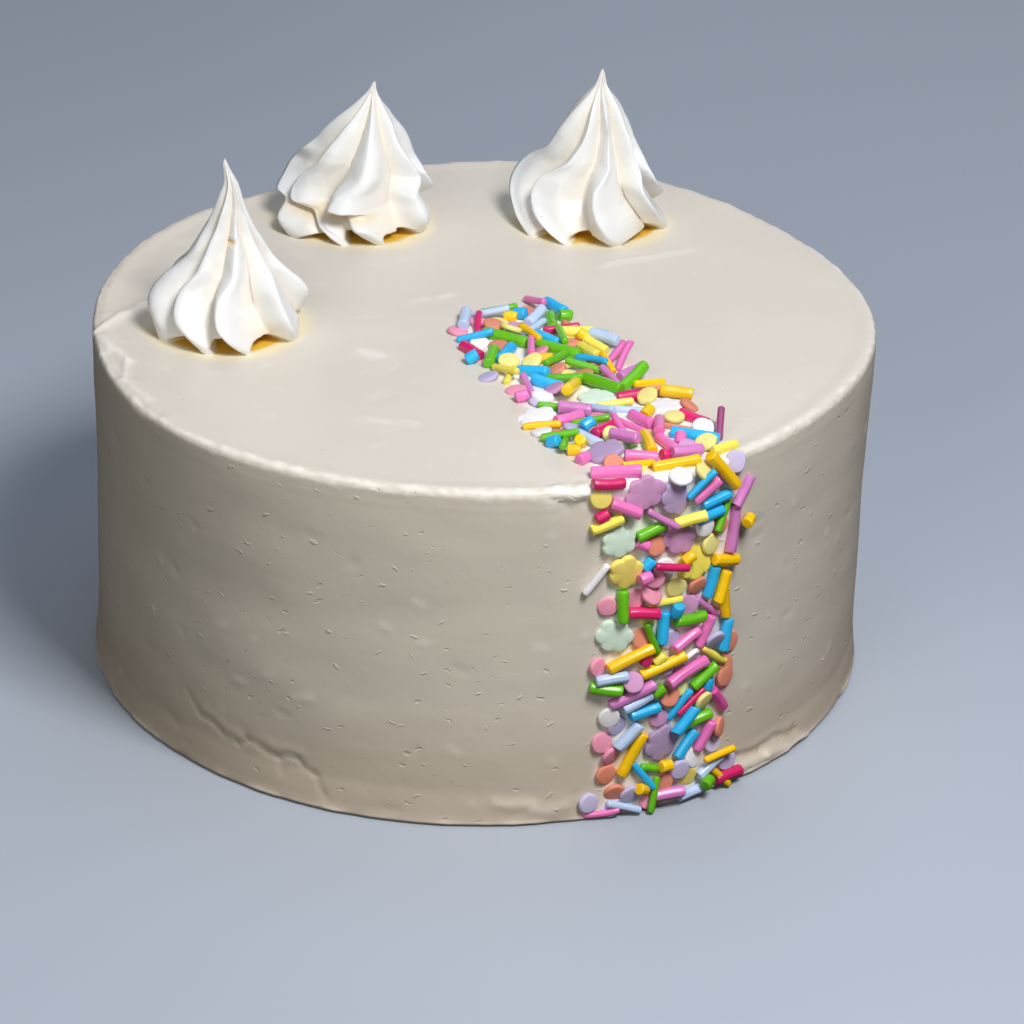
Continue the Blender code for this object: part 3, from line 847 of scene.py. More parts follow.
    def lip(self, skin: Skin) -> tuple[np.ndarray, np.ndarray]:
        """The ragged lip, its softer underside away from the band, and its crumbly patch beside it.

        Args:
            skin: The vertices.

        Returns:
            The height of its relief, and its painted highlight along the lip with the lighter crumbs of the
            patch.
        """
        places, inward, drop = skin.places, skin.inward, skin.drop
        degrees = np.degrees(skin.azimuth)
        coarse = rough(places, self.coarse_size, seed=7.0)
        fine = rough(places, self.fine_size, seed=9.0)
        crest = np.exp(-((inward - self.crest_inset) ** 2 + drop ** 2) / self.crest_width ** 2)
        relief = crest * self.lip_rough * (0.9 * coarse + 0.9 * fine)
        off_band = ramp(np.abs(degrees - self.band_azimuth), *self.band_half_angle)
        sloping = np.clip((drop - self.nose_drop) / (self.lip_drop - self.nose_drop), 0.0, 1.0)
        fuller = (sloping - ramp(drop, self.nose_drop, self.softened)) * (inward < 6.0 * MM)
        relief += off_band * self.lip_overhang * fuller
        patch = ramp(degrees, *self.patch_start) * ramp(degrees, *self.patch_end)
        patch *= np.exp(-((inward + drop) / self.patch_reach) ** 2)
        relief += patch * self.patch_height * rough(places, self.patch_size, seed=12.0, octaves=3)
        # Painted highlight along the lip, widest at the front
        front = ramp(np.abs(degrees - self.line_azimuth), *self.line_half_angle)
        wide = self.line_width * (0.45 + 0.55 * front)
        over = wide * (1.0 + 0.7 * coarse + 0.5 * fine)
        under = wide * (1.1 + 1.0 * coarse + 0.7 * fine)
        line = ramp(inward, over + 1.4 * MM, over) * ramp(drop, under + 0.4 * MM, under)
        crumbs = ramp(rough(places, self.crumb_size, seed=14.0, octaves=1), -0.2, 0.3)
        return relief, line * (0.27 + 0.5 * fine) + 0.6 * patch * crumbs

    def marks(self, skin: Skin) -> tuple[np.ndarray, np.ndarray]:
        """Adds up the listed strokes, the crack and the nicks that are strewn at random.

        Args:
            skin: The vertices.

        Returns:
            The relief, and the painted highlight along the strokes and crumbs.
        """
        places, on_wall = skin.places, skin.on_wall
        relief, bright = np.zeros(len(places)), np.zeros(len(places))
        wave, cross = (self.wobble * rough(places, 7.0 * MM, seed, 3) for seed in (31.0, 37.0))
        flats = {
            Spread.WALL: (skin.azimuth * self.rim_radius + wave, places[:, 2] + cross, on_wall),
            Spread.TOP: (places[:, 0] + wave, places[:, 1] + cross, 1.0 - on_wall),
        }
        listed = (Stroke(side, *row) for side, rows in STROKES.items() for row in rows)
        crack = (
            Stroke(Spread.WALL, start, end, self.crack_width, height)
            for start, end, height in zip(self.crack, self.crack[1:], self.crack_heights)
        )
        for stroke in (*listed, *crack, *self.nicks()):
            first, second, where = flats[stroke.side]
            around = math.radians(1.0) * self.rim_radius if stroke.side is Spread.WALL else MM
            start = np.array([stroke.start[0] * around, stroke.start[1] * MM])
            run = np.array([stroke.end[0] * around, stroke.end[1] * MM]) - start
            reach = np.linalg.norm(run) + 3.0 * stroke.width * MM
            near = np.flatnonzero((np.abs(first - start[0]) < reach) & (np.abs(second - start[1]) < reach))
            side, over = first[near] - start[0], second[near] - start[1]
            along = np.clip((side * run[0] + over * run[1]) / max(run @ run, 1e-12), 0.0, 1.0)
            away = np.hypot(side - along * run[0], over - along * run[1]) / (stroke.width * MM)
            soft = np.exp(-away ** 2) * where[near]
            relief[near] += soft * stroke.height * MM
            # Painted highlight along raised strokes and crumbs
            bright[near] += soft * stroke.bright
        return relief, bright

    def nicks(self) -> Iterator[Stroke]:
        """Small dents and crumbs of icing, strewn by a seeded draw.

        Yields:
            Short strokes, flat-lying on the wall and any way round on the top.
        """
        rng = random.Random(self.nick_seed)
        for _ in range(self.wall_nicks):
            place, level = rng.uniform(-180.0, 180.0), rng.uniform(*self.wall_levels)
            length, slope = rng.uniform(0.3, 1.6), rng.gauss(0.0, 0.5)
            height = rng.choice((-0.2, -0.16, 0.12, 0.16)) * rng.uniform(0.5, 1.2)
            end, width = (place + length, level + slope), rng.uniform(0.7, 1.1)
            # Raised crumbs on the wall get a painted highlight
            yield Stroke(Spread.WALL, (place, level), end, width, height, 0.3 * (height > 0.0))
        for _ in range(self.top_nicks):
            turn, reach = rng.uniform(0.0, math.tau), self.top_reach * math.sqrt(rng.random())
            x, y = reach * math.cos(turn), reach * math.sin(turn)
            way, length = rng.uniform(0.0, math.tau), rng.uniform(0.5, 3.0)
            end = (x + length * math.cos(way), y + length * math.sin(way))
            # Every mark on the top is painted a little lighter
            yield Stroke(Spread.TOP, (x, y), end, rng.uniform(0.8, 1.5), rng.uniform(-0.18, 0.2), 0.07)


@dataclass(frozen=True)
class SprinkleKind:
    """One kind of sprinkle: its sizes, how many are strewn and fill gaps, and the tones of those.

    A strand also has flutes, whose grooves and rounded ends are shares of its half width.
    """

    half_length: float
    half_width: float
    thickness: float
    strewn: int
    filling: int
    tones: tuple[Tone, ...]
    flutes: int = 8
    groove: float = 0.085
    rounding: float = 0.24


COMMON_TONES = (Tone.GOLDEN, Tone.GREEN, Tone.BLUE, Tone.ROSE)
ROD_TONES = (*COMMON_TONES, Tone.MAUVE, Tone.CRIMSON, Tone.SKY, Tone.LEMON, *COMMON_TONES)
DISC_TONES = (
    Tone.PINK, Tone.SALMON, Tone.OLIVE, Tone.LILAC, Tone.ORCHID, Tone.OLIVE, Tone.WHITE, Tone.SALMON,
)
KINDS = {
    "flower": SprinkleKind(4.7 * MM, 4.7 * MM, 1.7 * MM, 0, 0, (Tone.WHITE,)),
    "long rod": SprinkleKind(6.0 * MM, 1.5 * MM, 3.0 * MM, 1, 0, ROD_TONES),
    "short rod": SprinkleKind(4.0 * MM, 1.45 * MM, 2.9 * MM, 22, 10, ROD_TONES),
    "disc": SprinkleKind(2.7 * MM, 2.7 * MM, 1.3 * MM, 28, 18, DISC_TONES),
    "slim rod": SprinkleKind(4.6 * MM, 0.95 * MM, 1.9 * MM, 26, 16, ROD_TONES, 6, 0.07, 0.5),
    "stub": SprinkleKind(1.6 * MM, 1.5 * MM, 3.0 * MM, 10, 14, ROD_TONES),
}

# Sprinkles that stand out, by kind: millimetres down from the rim, millimetres across from the
# centre line, degrees turned clockwise, degrees that one end is lifted, and the tone
STANDING_OUT = {
    "flower": (
        (-39, -17, 0, 0, Tone.WHITE), (-30, 14, 20, 0, Tone.WHITE), (-15, -11, 0, 20, Tone.PURPLE),
        (3, -8, 10, 0, Tone.ORCHID), (6, 0, 40, 0, Tone.PURPLE), (15, -14, 0, 0, Tone.MINT),
        (17, 2, 25, 0, Tone.ORCHID), (23, -12, 10, 0, Tone.STRAW), (25, 7, 0, 0, Tone.LEMON),
        (40, -14, 35, 0, Tone.MINT), (72, 0, 15, 0, Tone.PURPLE), (-43, 1, 10, 0, Tone.MINT),
    ),
    "disc": (
        (-94, -7, 0, 0, Tone.PINK), (-93, 7, 0, 0, Tone.SALMON), (-91, -14, 0, 0, Tone.PINK),
        (-91, -3, 0, 0, Tone.OLIVE), (-87, 0, 0, 0, Tone.ORCHID), (-81, 13, 0, 0, Tone.SALMON),
        (-73, 9, 0, 0, Tone.SALMON), (-64, -18, 0, 0, Tone.LILAC), (-63, 2, 0, 0, Tone.OLIVE),
        (-60, 9, 0, 0, Tone.SALMON), (-57, 0, 0, 0, Tone.OLIVE), (-55, -15, 0, 0, Tone.PINK),
        (-51, 8, 0, 0, Tone.SALMON), (-47, -13, 0, 0, Tone.LILAC), (-29, -16, 0, 0, Tone.SALMON),
        (-27, 19, 0, 0, Tone.SALMON), (-9, -12, 0, 0, Tone.SALMON), (1, 1, 0, 0, Tone.WHITE),
        (1, 8, 0, 0, Tone.OLIVE), (3, -19, 0, 0, Tone.STRAW), (21, 11, 0, 0, Tone.OLIVE),
        (30, 2, 0, 0, Tone.OLIVE), (31, -9, 0, 0, Tone.PINK), (32, -16, 0, 0, Tone.PINK),
        (36, 6, 0, 0, Tone.ORCHID), (37, -5, 0, 0, Tone.OLIVE), (42, -7, 0, 0, Tone.SALMON),
        (44, 1, 0, 0, Tone.LILAC), (48, -18, 0, 0, Tone.PINK), (50, 19, 0, 0, Tone.SALMON),
        (51, 0, 0, 0, Tone.LILAC), (58, 4, 0, 0, Tone.OLIVE), (65, -1, 0, 0, Tone.ORCHID),
        (69, -16, 0, 0, Tone.PINK), (83, -12, 0, 0, Tone.SALMON), (83, 8, 0, 0, Tone.STRAW),
        (83, 20, 0, 0, Tone.LILAC), (84, -8, 0, 0, Tone.LILAC), (85, -19, 0, 0, Tone.LILAC),
        (89, -13, 0, 0, Tone.LILAC), (89, -3, 0, 0, Tone.PINK),
    ),
    "long rod": (
        (-82, -5, 55, 0, Tone.GREEN), (-70, 4, 57, 0, Tone.GREEN), (-48, -4, 128, 16, Tone.GOLDEN),
        (-47, 4, 70, 0, Tone.GREEN), (-45, 12, -28, 14, Tone.GREEN), (-3, 2, 6, 0, Tone.GOLDEN),
        (2, 13, 52, 0, Tone.GOLDEN), (46, -10, -20, 0, Tone.GOLDEN), (50, -1, -16, 0, Tone.GOLDEN),
        (56, -9, -24, 0, Tone.MAUVE), (54, 6, -17, 0, Tone.ROSE), (73, -8, -64, 0, Tone.GOLDEN),
        (-13, 13, 46, 0, Tone.BLUE), (-16, 1, 107, 0, Tone.GOLDEN), (19, 18, 97, 0, Tone.MAUVE),
    ),
    "slim rod": (
        (-98, 1, 7, 0, Tone.GREEN), (-59, 15, -30, 22, Tone.ROSE), (-56, 16, -40, 30, Tone.ROSE),
        (-12, 20, -60, 32, Tone.PLUM), (-63, -13, -51, 0, Tone.LEMON), (-34, 5, 31, 0, Tone.SKY),
        (-19, 12, 47, 0, Tone.SALMON), (24, -19, -53, 0, Tone.WHITE), (33, -1, 2, 0, Tone.LEMON),
        (79, -1, 22, 0, Tone.GREEN), (88, -10, 19, 0, Tone.SKY),
    ),
    "short rod": (
        (-91, 14, 80, 0, Tone.BLUE), (-78, -16, 80, 0, Tone.CRIMSON), (-73, -14, 124, 0, Tone.GREEN),
        (-74, -9, 138, 0, Tone.BLUE), (-77, 4, 68, 0, Tone.BLUE), (-67, 13, 75, 0, Tone.LEMON),
        (-62, -7, 50, 0, Tone.BLUE), (-55, -7, 52, 0, Tone.BLUE), (-21, 17, 60, 0, Tone.CRIMSON),
        (-16, -6, 68, 0, Tone.MAUVE), (9, 12, -12, 0, Tone.BLUE), (12, 10, -5, 0, Tone.BLUE),
        (13, -6, -15, 0, Tone.GREEN), (31, 12, -75, 0, Tone.BLUE), (32, -13, 93, 0, Tone.GREEN),
        (39, 6, 2, 0, Tone.GREEN), (44, 11, -66, 0, Tone.ROSE), (47, 17, -78, 0, Tone.BLUE),
        (56, 11, -35, 0, Tone.GREEN), (64, 16, 55, 0, Tone.MAGENTA), (68, 10, -12, 0, Tone.GREEN),
        (68, -9, -45, 0, Tone.SKY), (74, 7, -50, 0, Tone.BLUE), (82, 14, -25, 0, Tone.SKY),
        (88, 9, -5, 0, Tone.SKY), (-35, -11, -13, 0, Tone.ROSE), (-27, -6, -32, 0, Tone.CRIMSON),
        (12, 4, -5, 0, Tone.LEMON), (34, -7, 5, 0, Tone.CRIMSON), (45, 5, -25, 0, Tone.ROSE),
        (87, 2, 6, 0, Tone.MAUVE), (87, 20, -1, 0, Tone.CRIMSON),
    ),
    "stub": (
        (-67, -1, 30, 0, Tone.GOLDEN), (-27, -9, 0, 0, Tone.BLUE), (-20, -2, 60, 0, Tone.GREEN),
        (-19, -17, 31, 0, Tone.GOLDEN), (22, 4, -29, 0, Tone.GOLDEN), (22, -6, -47, 0, Tone.BLUE),
        (83, -6, 20, 0, Tone.GOLDEN), (87, 12, -30, 0, Tone.GREEN),
    ),
}


@dataclass(frozen=True)
class Spot:
    """Where a sprinkle goes: how far down from the rim and to the right of the centre line.

    It is turned clockwise, and one end is lifted, by angles in radians.
    """

    name: str
    down: float
    across: float
    turn: float
    lift: float = 0.0

    @property
    def kind(self) -> SprinkleKind:
        """Its kind of sprinkle."""
        return KINDS[self.name]


@dataclass
class Bed:
    """How high the sprinkles already lie over the icing, on a grid over the unrolled band."""

    inner_end: float
    outer_end: float
    margin: float = 12.0 * MM
    half_width: float = 36.0 * MM
    cell: float = 0.5 * MM
    sink: float = 0.45 * MM
    steepest: float = 0.55
    rounds: int = 3
    high_weight: float = 3.0
    carried: float = 0.9
    down: np.ndarray = field(init=False)
    across: np.ndarray = field(init=False)
    height: np.ndarray = field(init=False)

    def __post_init__(self) -> None:
        """Lays out the empty grid."""
        first_down = -self.inner_end - self.margin
        rows = int((self.outer_end + self.margin - first_down) / self.cell)
        columns = int(2 * self.half_width / self.cell)
        self.down = first_down + (np.arange(rows) + 0.5) * self.cell
        self.across = -self.half_width + (np.arange(columns) + 0.5) * self.cell
        self.height = np.zeros((rows, columns))

    def under(self, spot: Spot) -> tuple[np.ndarray, np.ndarray, np.ndarray, np.ndarray]:
        """The grid cells that a sprinkle covers.

        Args:
            spot: Where it goes.

        Returns:
            The cells' rows and columns, and their places across and up from its middle.
        """
        kind, cosine, sine = spot.kind, math.cos(spot.turn), math.sin(spot.turn)
        reach = kind.half_length + self.cell
        rows = np.flatnonzero(np.abs(self.down - spot.down) < reach)
        columns = np.flatnonzero(np.abs(self.across - spot.across) < reach)
        row, column = (a.ravel() for a in np.meshgrid(rows, columns, indexing="ij"))
        x, y = self.across[column] - spot.across, spot.down - self.down[row]
        length, width = x * cosine - y * sine, x * sine + y * cosine
        inside = (length / kind.half_length) ** 2 + (width / kind.half_width) ** 2 < 1.0
        if kind.half_length > 1.2 * kind.half_width:
            inside = (np.abs(length) < kind.half_length) & (np.abs(width) < kind.half_width)
        return row[inside], column[inside], x[inside], y[inside]

    def settle(self, spot: Spot) -> tuple[float, float, float]:
        """Rests a sprinkle on what lies there.

        Args:
            spot: Where it goes.

        Returns:
            Its height, and its slopes across and up the band.
        """
        row, column, x, y = self.under(spot)
        heights = self.height[row, column]
        if spot.lift:
            across_slope = math.tan(spot.lift) * math.cos(spot.turn)
            up_slope = -math.tan(spot.lift) * math.sin(spot.turn)
        else:
            weight = np.ones(len(x))
            for _ in range(self.rounds):
                sides = np.stack([np.ones(len(x)), x, y], 1) * weight[:, None]
                base, across_slope, up_slope = np.linalg.lstsq(sides, heights * weight, rcond=None)[0]
                weight = np.where(heights > base + across_slope * x + up_slope * y, self.high_weight, 1.0)
            across_slope = min(max(across_slope, -self.steepest), self.steepest)
            up_slope = min(max(up_slope, -self.steepest), self.steepest)
        plane = across_slope * x + up_slope * y
        base = float(np.quantile(heights - plane, self.carried)) - self.sink
        self.height[row, column] = np.maximum(heights, base + plane + spot.kind.thickness)
        return base, across_slope, up_slope

    def cover(self, spot: Spot) -> float:
        """The mean height of what lies under a sprinkle put there."""
        row, column, _, _ = self.under(spot)
        return float(self.height[row, column].mean())


@dataclass(frozen=True)
class Placed:
    """A sprinkle in its place: its kind, its tone and the matrix that puts it there."""

    kind: str
    tone: Tone
    matrix: Matrix


@dataclass
class SprinkleBand:
    """The band of sprinkles, from near the middle of the top over the rim and down the side."""

    cake: IcedCake
    start: tuple[float, float] = (4.9 * MM, -0.2 * MM)
    heading: float = math.radians(25.8)
    inner_end: float = 95.0 * MM
    inner_half: float = 15.0 * MM
    rim_half: float = 19.5 * MM
    side_half: float = 18.0 * MM
    side_shift: float = 1.2 * MM
    edge_wave: float = 1.6 * MM
    corner_reach: float = 3.0 * MM
    foot_reach: float = 7.0 * MM
    foot_lean: float = math.radians(38.0)
    floor_gap: float = 0.25 * MM
    places_tried: int = 14
    strew_seed: int = 27
    fill_tries: int = 120
    fill_seed: int = 4
    shape_seed: int = 8
    tilt_seed: int = 2
    disc_tilt: float = 0.2
    rod_tilt: float = 0.06
    flower_lobes: int = 6
    rim_rounds: int = 6

    def axes(self) -> tuple[Vector, Vector]:
        """Unit vectors on the top: along the band towards the rim, and across it to its right."""
        along = Vector((math.sin(self.heading), -math.cos(self.heading)))
        return along, Vector((-along.y, along.x))

    def rim_reach(self, across: float) -> float:
        """How far along the band the rim lies, for this distance across it."""
        along, right = self.axes()
        beside = Vector(self.start) + across * right
        ahead, reach = beside.dot(along), self.cake.rim_radius
        for _ in range(self.rim_rounds):
            point = beside + reach * along
            angle = math.atan2(point.y, point.x)
            radius = self.cake.rim_radius + float(self.cake.outline_shift(angle, self.cake.height))
            reach = math.sqrt(ahead ** 2 - beside.length_squared + radius ** 2) - ahead
        return reach

    def frame_at(self, down: float, across: float) -> Matrix:
        """The place on the icing, as a matrix whose X runs across, Y up the band and Z outwards.

        Args:
            down: The distance from the rim: below zero on the top, above zero on the side.
            across: The distance from the centre line, to the right.

        Returns:
            The matrix.
        """
        along, right = self.axes()
        flat = Vector(self.start) + (self.rim_reach(across) + min(down, 0.0)) * along + across * right
        angle = math.atan2(flat.y, flat.x)
        out = Vector((math.cos(angle), math.sin(angle), 0.0))
        height = max(self.cake.height - max(down, 0.0), 0.0)
        if down <= 0.0:
            place = Vector((flat.x, flat.y, self.cake.height))
            tilt = max(0.0, 1.0 + down / self.corner_reach) * math.pi / 4
        else:
            place = self.cake.wall_radius(angle, height) * out + Vector((0.0, 0.0, height))
            tilt = (1.0 + min(down / self.corner_reach, 1.0)) * math.pi / 4
            tilt -= self.foot_lean * max(0.0, 1.0 - height / self.foot_reach)
        ahead = out if down > 0.0 else Vector((along.x, along.y, 0.0))
        normal = math.cos(tilt) * Vector((0, 0, 1)) + math.sin(tilt) * ahead
        up = math.sin(tilt) * Vector((0, 0, 1)) - math.cos(tilt) * ahead
        placed = Matrix((up.cross(normal), up, normal)).transposed().to_4x4()
        placed.translation = place
        return placed

    def smear(self, places: np.ndarray) -> np.ndarray:
        """Where fresh icing holds the sprinkles.

        Args:
            places: One row of x, y and z for each place.

        Returns:
            0 to 1 for each place.
        """
        along, right = (np.array(axis) for axis in self.axes())
        flat = places[:, :2] - np.array(self.start)
        ahead, aside = flat @ along, np.abs(flat @ right - 0.5 * self.side_shift)
        half = np.interp(ahead, (0.0, 0.5 * self.inner_end), (self.inner_half, self.side_half))
        wave = 1.5 * MM * rough(places, 9.0 * MM, seed=17.0)
        return ramp(ahead, -2.0 * MM, 3.0 * MM) * ramp(aside + wave, half, half - 2.5 * MM)

    def half_width(self, down: float) -> float:
        """Half the band's width: narrow at its inner end, full at the rim, with uneven edges."""
        marks = (-self.inner_end, -0.4 * self.inner_end, 0.0, self.cake.height)
        halves = (self.inner_half, self.rim_half, self.rim_half, self.side_half)
        return float(np.interp(down, marks, halves)) + self.edge_wave * math.sin(down / (6.5 * MM))

    def strewn(self, bed: Bed, seed: int, tries: int, counts: dict[str, int]) -> Iterator[Spot]:
        """Strews sprinkles: each takes the barest of a few places drawn at random.

        Args:
            bed: What lies there already.
            seed: The seed of the draw.
            tries: How many places each one looks at.
            counts: How many of each kind.

        Yields:
            Where each one goes.
        """
        rng = random.Random(seed)
        for name in (name for name, count in counts.items() for _ in range(count)):
            turn = rng.uniform(-math.pi / 2, math.pi / 2)
            spots = []
            for _ in range(tries):
                down = rng.uniform(-self.inner_end, self.cake.height)
                reach = self.half_width(down) - 0.5 * KINDS[name].half_length
                across = rng.uniform(-1.0, 1.0) * reach + self.side_shift * (down > 0.0)
                spots.append(Spot(name, down, across, turn))
            yield min(spots, key=lambda spot: (bed.cover(spot), spot.down, spot.across))

    def place(self) -> list[Placed]:
        """Puts every sprinkle in its place, the ones that stand out first.

        Returns:
            The sprinkles, in the order in which they lie on each other.
        """
        bed = Bed(self.inner_end, self.cake.height)
        paint, tilt = random.Random(self.shape_seed), random.Random(self.tilt_seed)
        placed: list[Placed] = []

        def put(spot: Spot, tone: Tone) -> None:
            """Settles one sprinkle on the bed."""
            base, across_slope, up_slope = bed.settle(spot)
            if not spot.lift:
                spread = self.disc_tilt if spot.name == "disc" else self.rod_tilt
                across_slope += tilt.gauss(0.0, spread)
                up_slope += tilt.gauss(0.0, spread)
            normal = Vector((-across_slope, -up_slope, 1.0)).normalized()
            ahead = Vector((math.cos(spot.turn), -math.sin(spot.turn), 0.0))
            ahead = (ahead - ahead.dot(normal) * normal).normalized()
            lie = Matrix((ahead, normal.cross(ahead), normal)).transposed().to_4x4()
            lie.translation = (0.0, 0.0, base)
            placed.append(Placed(spot.name, tone, self.frame_at(spot.down, spot.across) @ lie))

        for name, listed in STANDING_OUT.items():
            for down, across, turn, lift, tone in listed:
                put(Spot(name, down * MM, across * MM, math.radians(turn), math.radians(lift)), tone)
        for seed, tries, use in (
            (self.strew_seed, self.places_tried, "strewn"), (self.fill_seed, self.fill_tries, "filling"),
        ):
            counts = {name: getattr(kind, use) for name, kind in KINDS.items()}
            for spot in self.strewn(bed, seed, tries, counts):
                put(spot, paint.choice(spot.kind.tones))
        return placed

    def rod(self, name: str, rng: random.Random) -> bmesh.types.BMesh:
        """A fluted strand that lies on Z = 0 along X, a little bent, with cut or rounded ends.

        Args:
            name: The kind of strand.
            rng: Draws its own small faults.

        Returns:
            The closed strand.
        """
        kind = KINDS[name]
        shape = bmesh.new()
        bmesh.ops.create_cone(
            shape, cap_ends=True, segments=4 * kind.flutes, radius1=kind.half_width,
            radius2=kind.half_width, depth=2 * kind.half_length,
            matrix=Matrix.Rotation(math.pi / 2, 4, "Y"),
        )
        for vertex in shape.verts:
            turn = math.atan2(vertex.co.z, vertex.co.y)
            pressed = (1.0 - abs(math.sin(0.5 * kind.flutes * turn + 0.5))) ** 1.4
            vertex.co.yz *= 1.0 - kind.groove * pressed
        ends = [edge for edge in shape.edges if abs(edge.verts[0].co.x - edge.verts[1].co.x) < 1e-6]
        bmesh.ops.bevel(
            shape, geom=ends, offset=kind.half_width * kind.rounding, segments=3, profile=0.5,
            affect="EDGES", material=-1,
        )
        long_edges = [e for e in shape.edges if abs(e.verts[0].co.x - e.verts[1].co.x) > kind.half_length]
        cuts = 5 if kind.half_length > 3.0 * MM else 1
        bmesh.ops.subdivide_edges(shape, edges=long_edges, cuts=cuts)
        bend, skew = rng.gauss(0.0, 0.035), rng.gauss(0.0, 0.12)
        thin, waist = rng.uniform(0.93, 1.05), rng.uniform(-0.06, 0.03)
        roll = rng.uniform(0.0, math.tau)
        for vertex in shape.verts:
            x, y, z = vertex.co
            share = x / kind.half_length
            size = thin * (1.0 + waist * (1.0 - share * share) + 0.02 * math.sin(5.0 * share + roll))
            cut = skew * y if abs(share) > 0.9 else 0.0
            y, z = y * math.cos(roll) - z * math.sin(roll), y * math.sin(roll) + z * math.cos(roll)
            arc = bend * (share * share - 0.4) * kind.half_length
            vertex.co = (x + cut, size * y + arc, size * z + kind.half_width)
        return shape

    def tablet(self, name: str, rng: random.Random) -> bmesh.types.BMesh:
        """A pressed disc or flower that lies on Z = 0, with rounded edges and a low dome.

        Args:
            name: The kind of shape.
            rng: Draws its own small faults.

        Returns:
            The closed shape.
        """
        kind = KINDS[name]
        flower = name == "flower"
        shape = bmesh.new()
        bmesh.ops.create_cone(
            shape, cap_ends=True, segments=48 if flower else 22, radius1=kind.half_width,
            radius2=kind.half_width, depth=kind.thickness,
            matrix=Matrix.Translation((0, 0, kind.thickness / 2)),
        )
        rims = [edge for edge in shape.edges if abs(edge.verts[0].co.z - edge.verts[1].co.z) < 1e-6]
        bmesh.ops.bevel(
            shape, geom=rims, offset=0.42 * kind.thickness, segments=4, profile=0.5, affect="EDGES",
            material=-1,
        )
        caps = [face for face in shape.faces if len(face.verts) > 8]
        for rise in (0.07, 0.03):
            bmesh.ops.inset_individual(
                shape, faces=caps, thickness=0.3 * kind.half_width, depth=rise * kind.thickness,
            )
        squash, size, first = rng.uniform(0.93, 1.0), rng.uniform(0.93, 1.06), rng.uniform(0.0, math.tau)
        for vertex in shape.verts:
            x, y, z = vertex.co
            turn = math.atan2(y, x)
            out = math.hypot(x, y) / kind.half_width
            reach = size * (1.0 + 0.02 * math.sin(2 * turn + first) + 0.015 * math.sin(5 * turn))
            if flower:
                scallop = abs(math.sin(0.5 * self.flower_lobes * turn)) ** 0.75
                uneven = 1.0 + 0.05 * math.sin(2 * turn + first)
                reach *= (1.0 - 0.17 * (1.0 - scallop) * out * out) * uneven
                z -= 0.12 * kind.thickness * (1.0 - scallop) * out ** 4 * (z > 0.5 * kind.thickness)
            vertex.co = (x * reach, y * reach * squash, z)
        return shape

    def build(self) -> list[bpy.types.Object]:
        """Builds one joined mesh for each kind, with each sprinkle's colour as an attribute.

        Returns:
            The pieces, one for each kind.
        """
        rng = random.Random(self.shape_seed)
        joined = {name: bmesh.new() for name in KINDS}
        layers = {name: shape.verts.layers.float_color.new("sugar") for name, shape in joined.items()}
        for sprinkle in self.place():
            maker = self.tablet if sprinkle.kind in ("flower", "disc") else self.rod
            single = maker(sprinkle.kind, rng)
            bmesh.ops.recalc_face_normals(single, faces=single.faces)
            single.transform(sprinkle.matrix)
            lowest = min(vertex.co.z for vertex in single.verts)
            single.transform(Matrix.Translation((0.0, 0.0, max(0.0, self.floor_gap - lowest))))
            mesh = bpy.data.meshes.new("sprinkle")
            single.to_mesh(mesh)
            single.free()
            shape = joined[sprinkle.kind]
            first = len(shape.verts)
            shape.from_mesh(mesh)
            bpy.data.meshes.remove(mesh)
            shape.verts.ensure_lookup_table()
            shade = rng.uniform(0.9, 1.08)
            colour = [min(shade * channel, 1.0) for channel in linear(sprinkle.tone.value)]
            for index in range(first, len(shape.verts)):
                shape.verts[index][layers[sprinkle.kind]] = (*colour, 1.0)
        return [new_piece("sprinkles_" + name.replace(" ", "_"), shape) for name, shape in joined.items()]


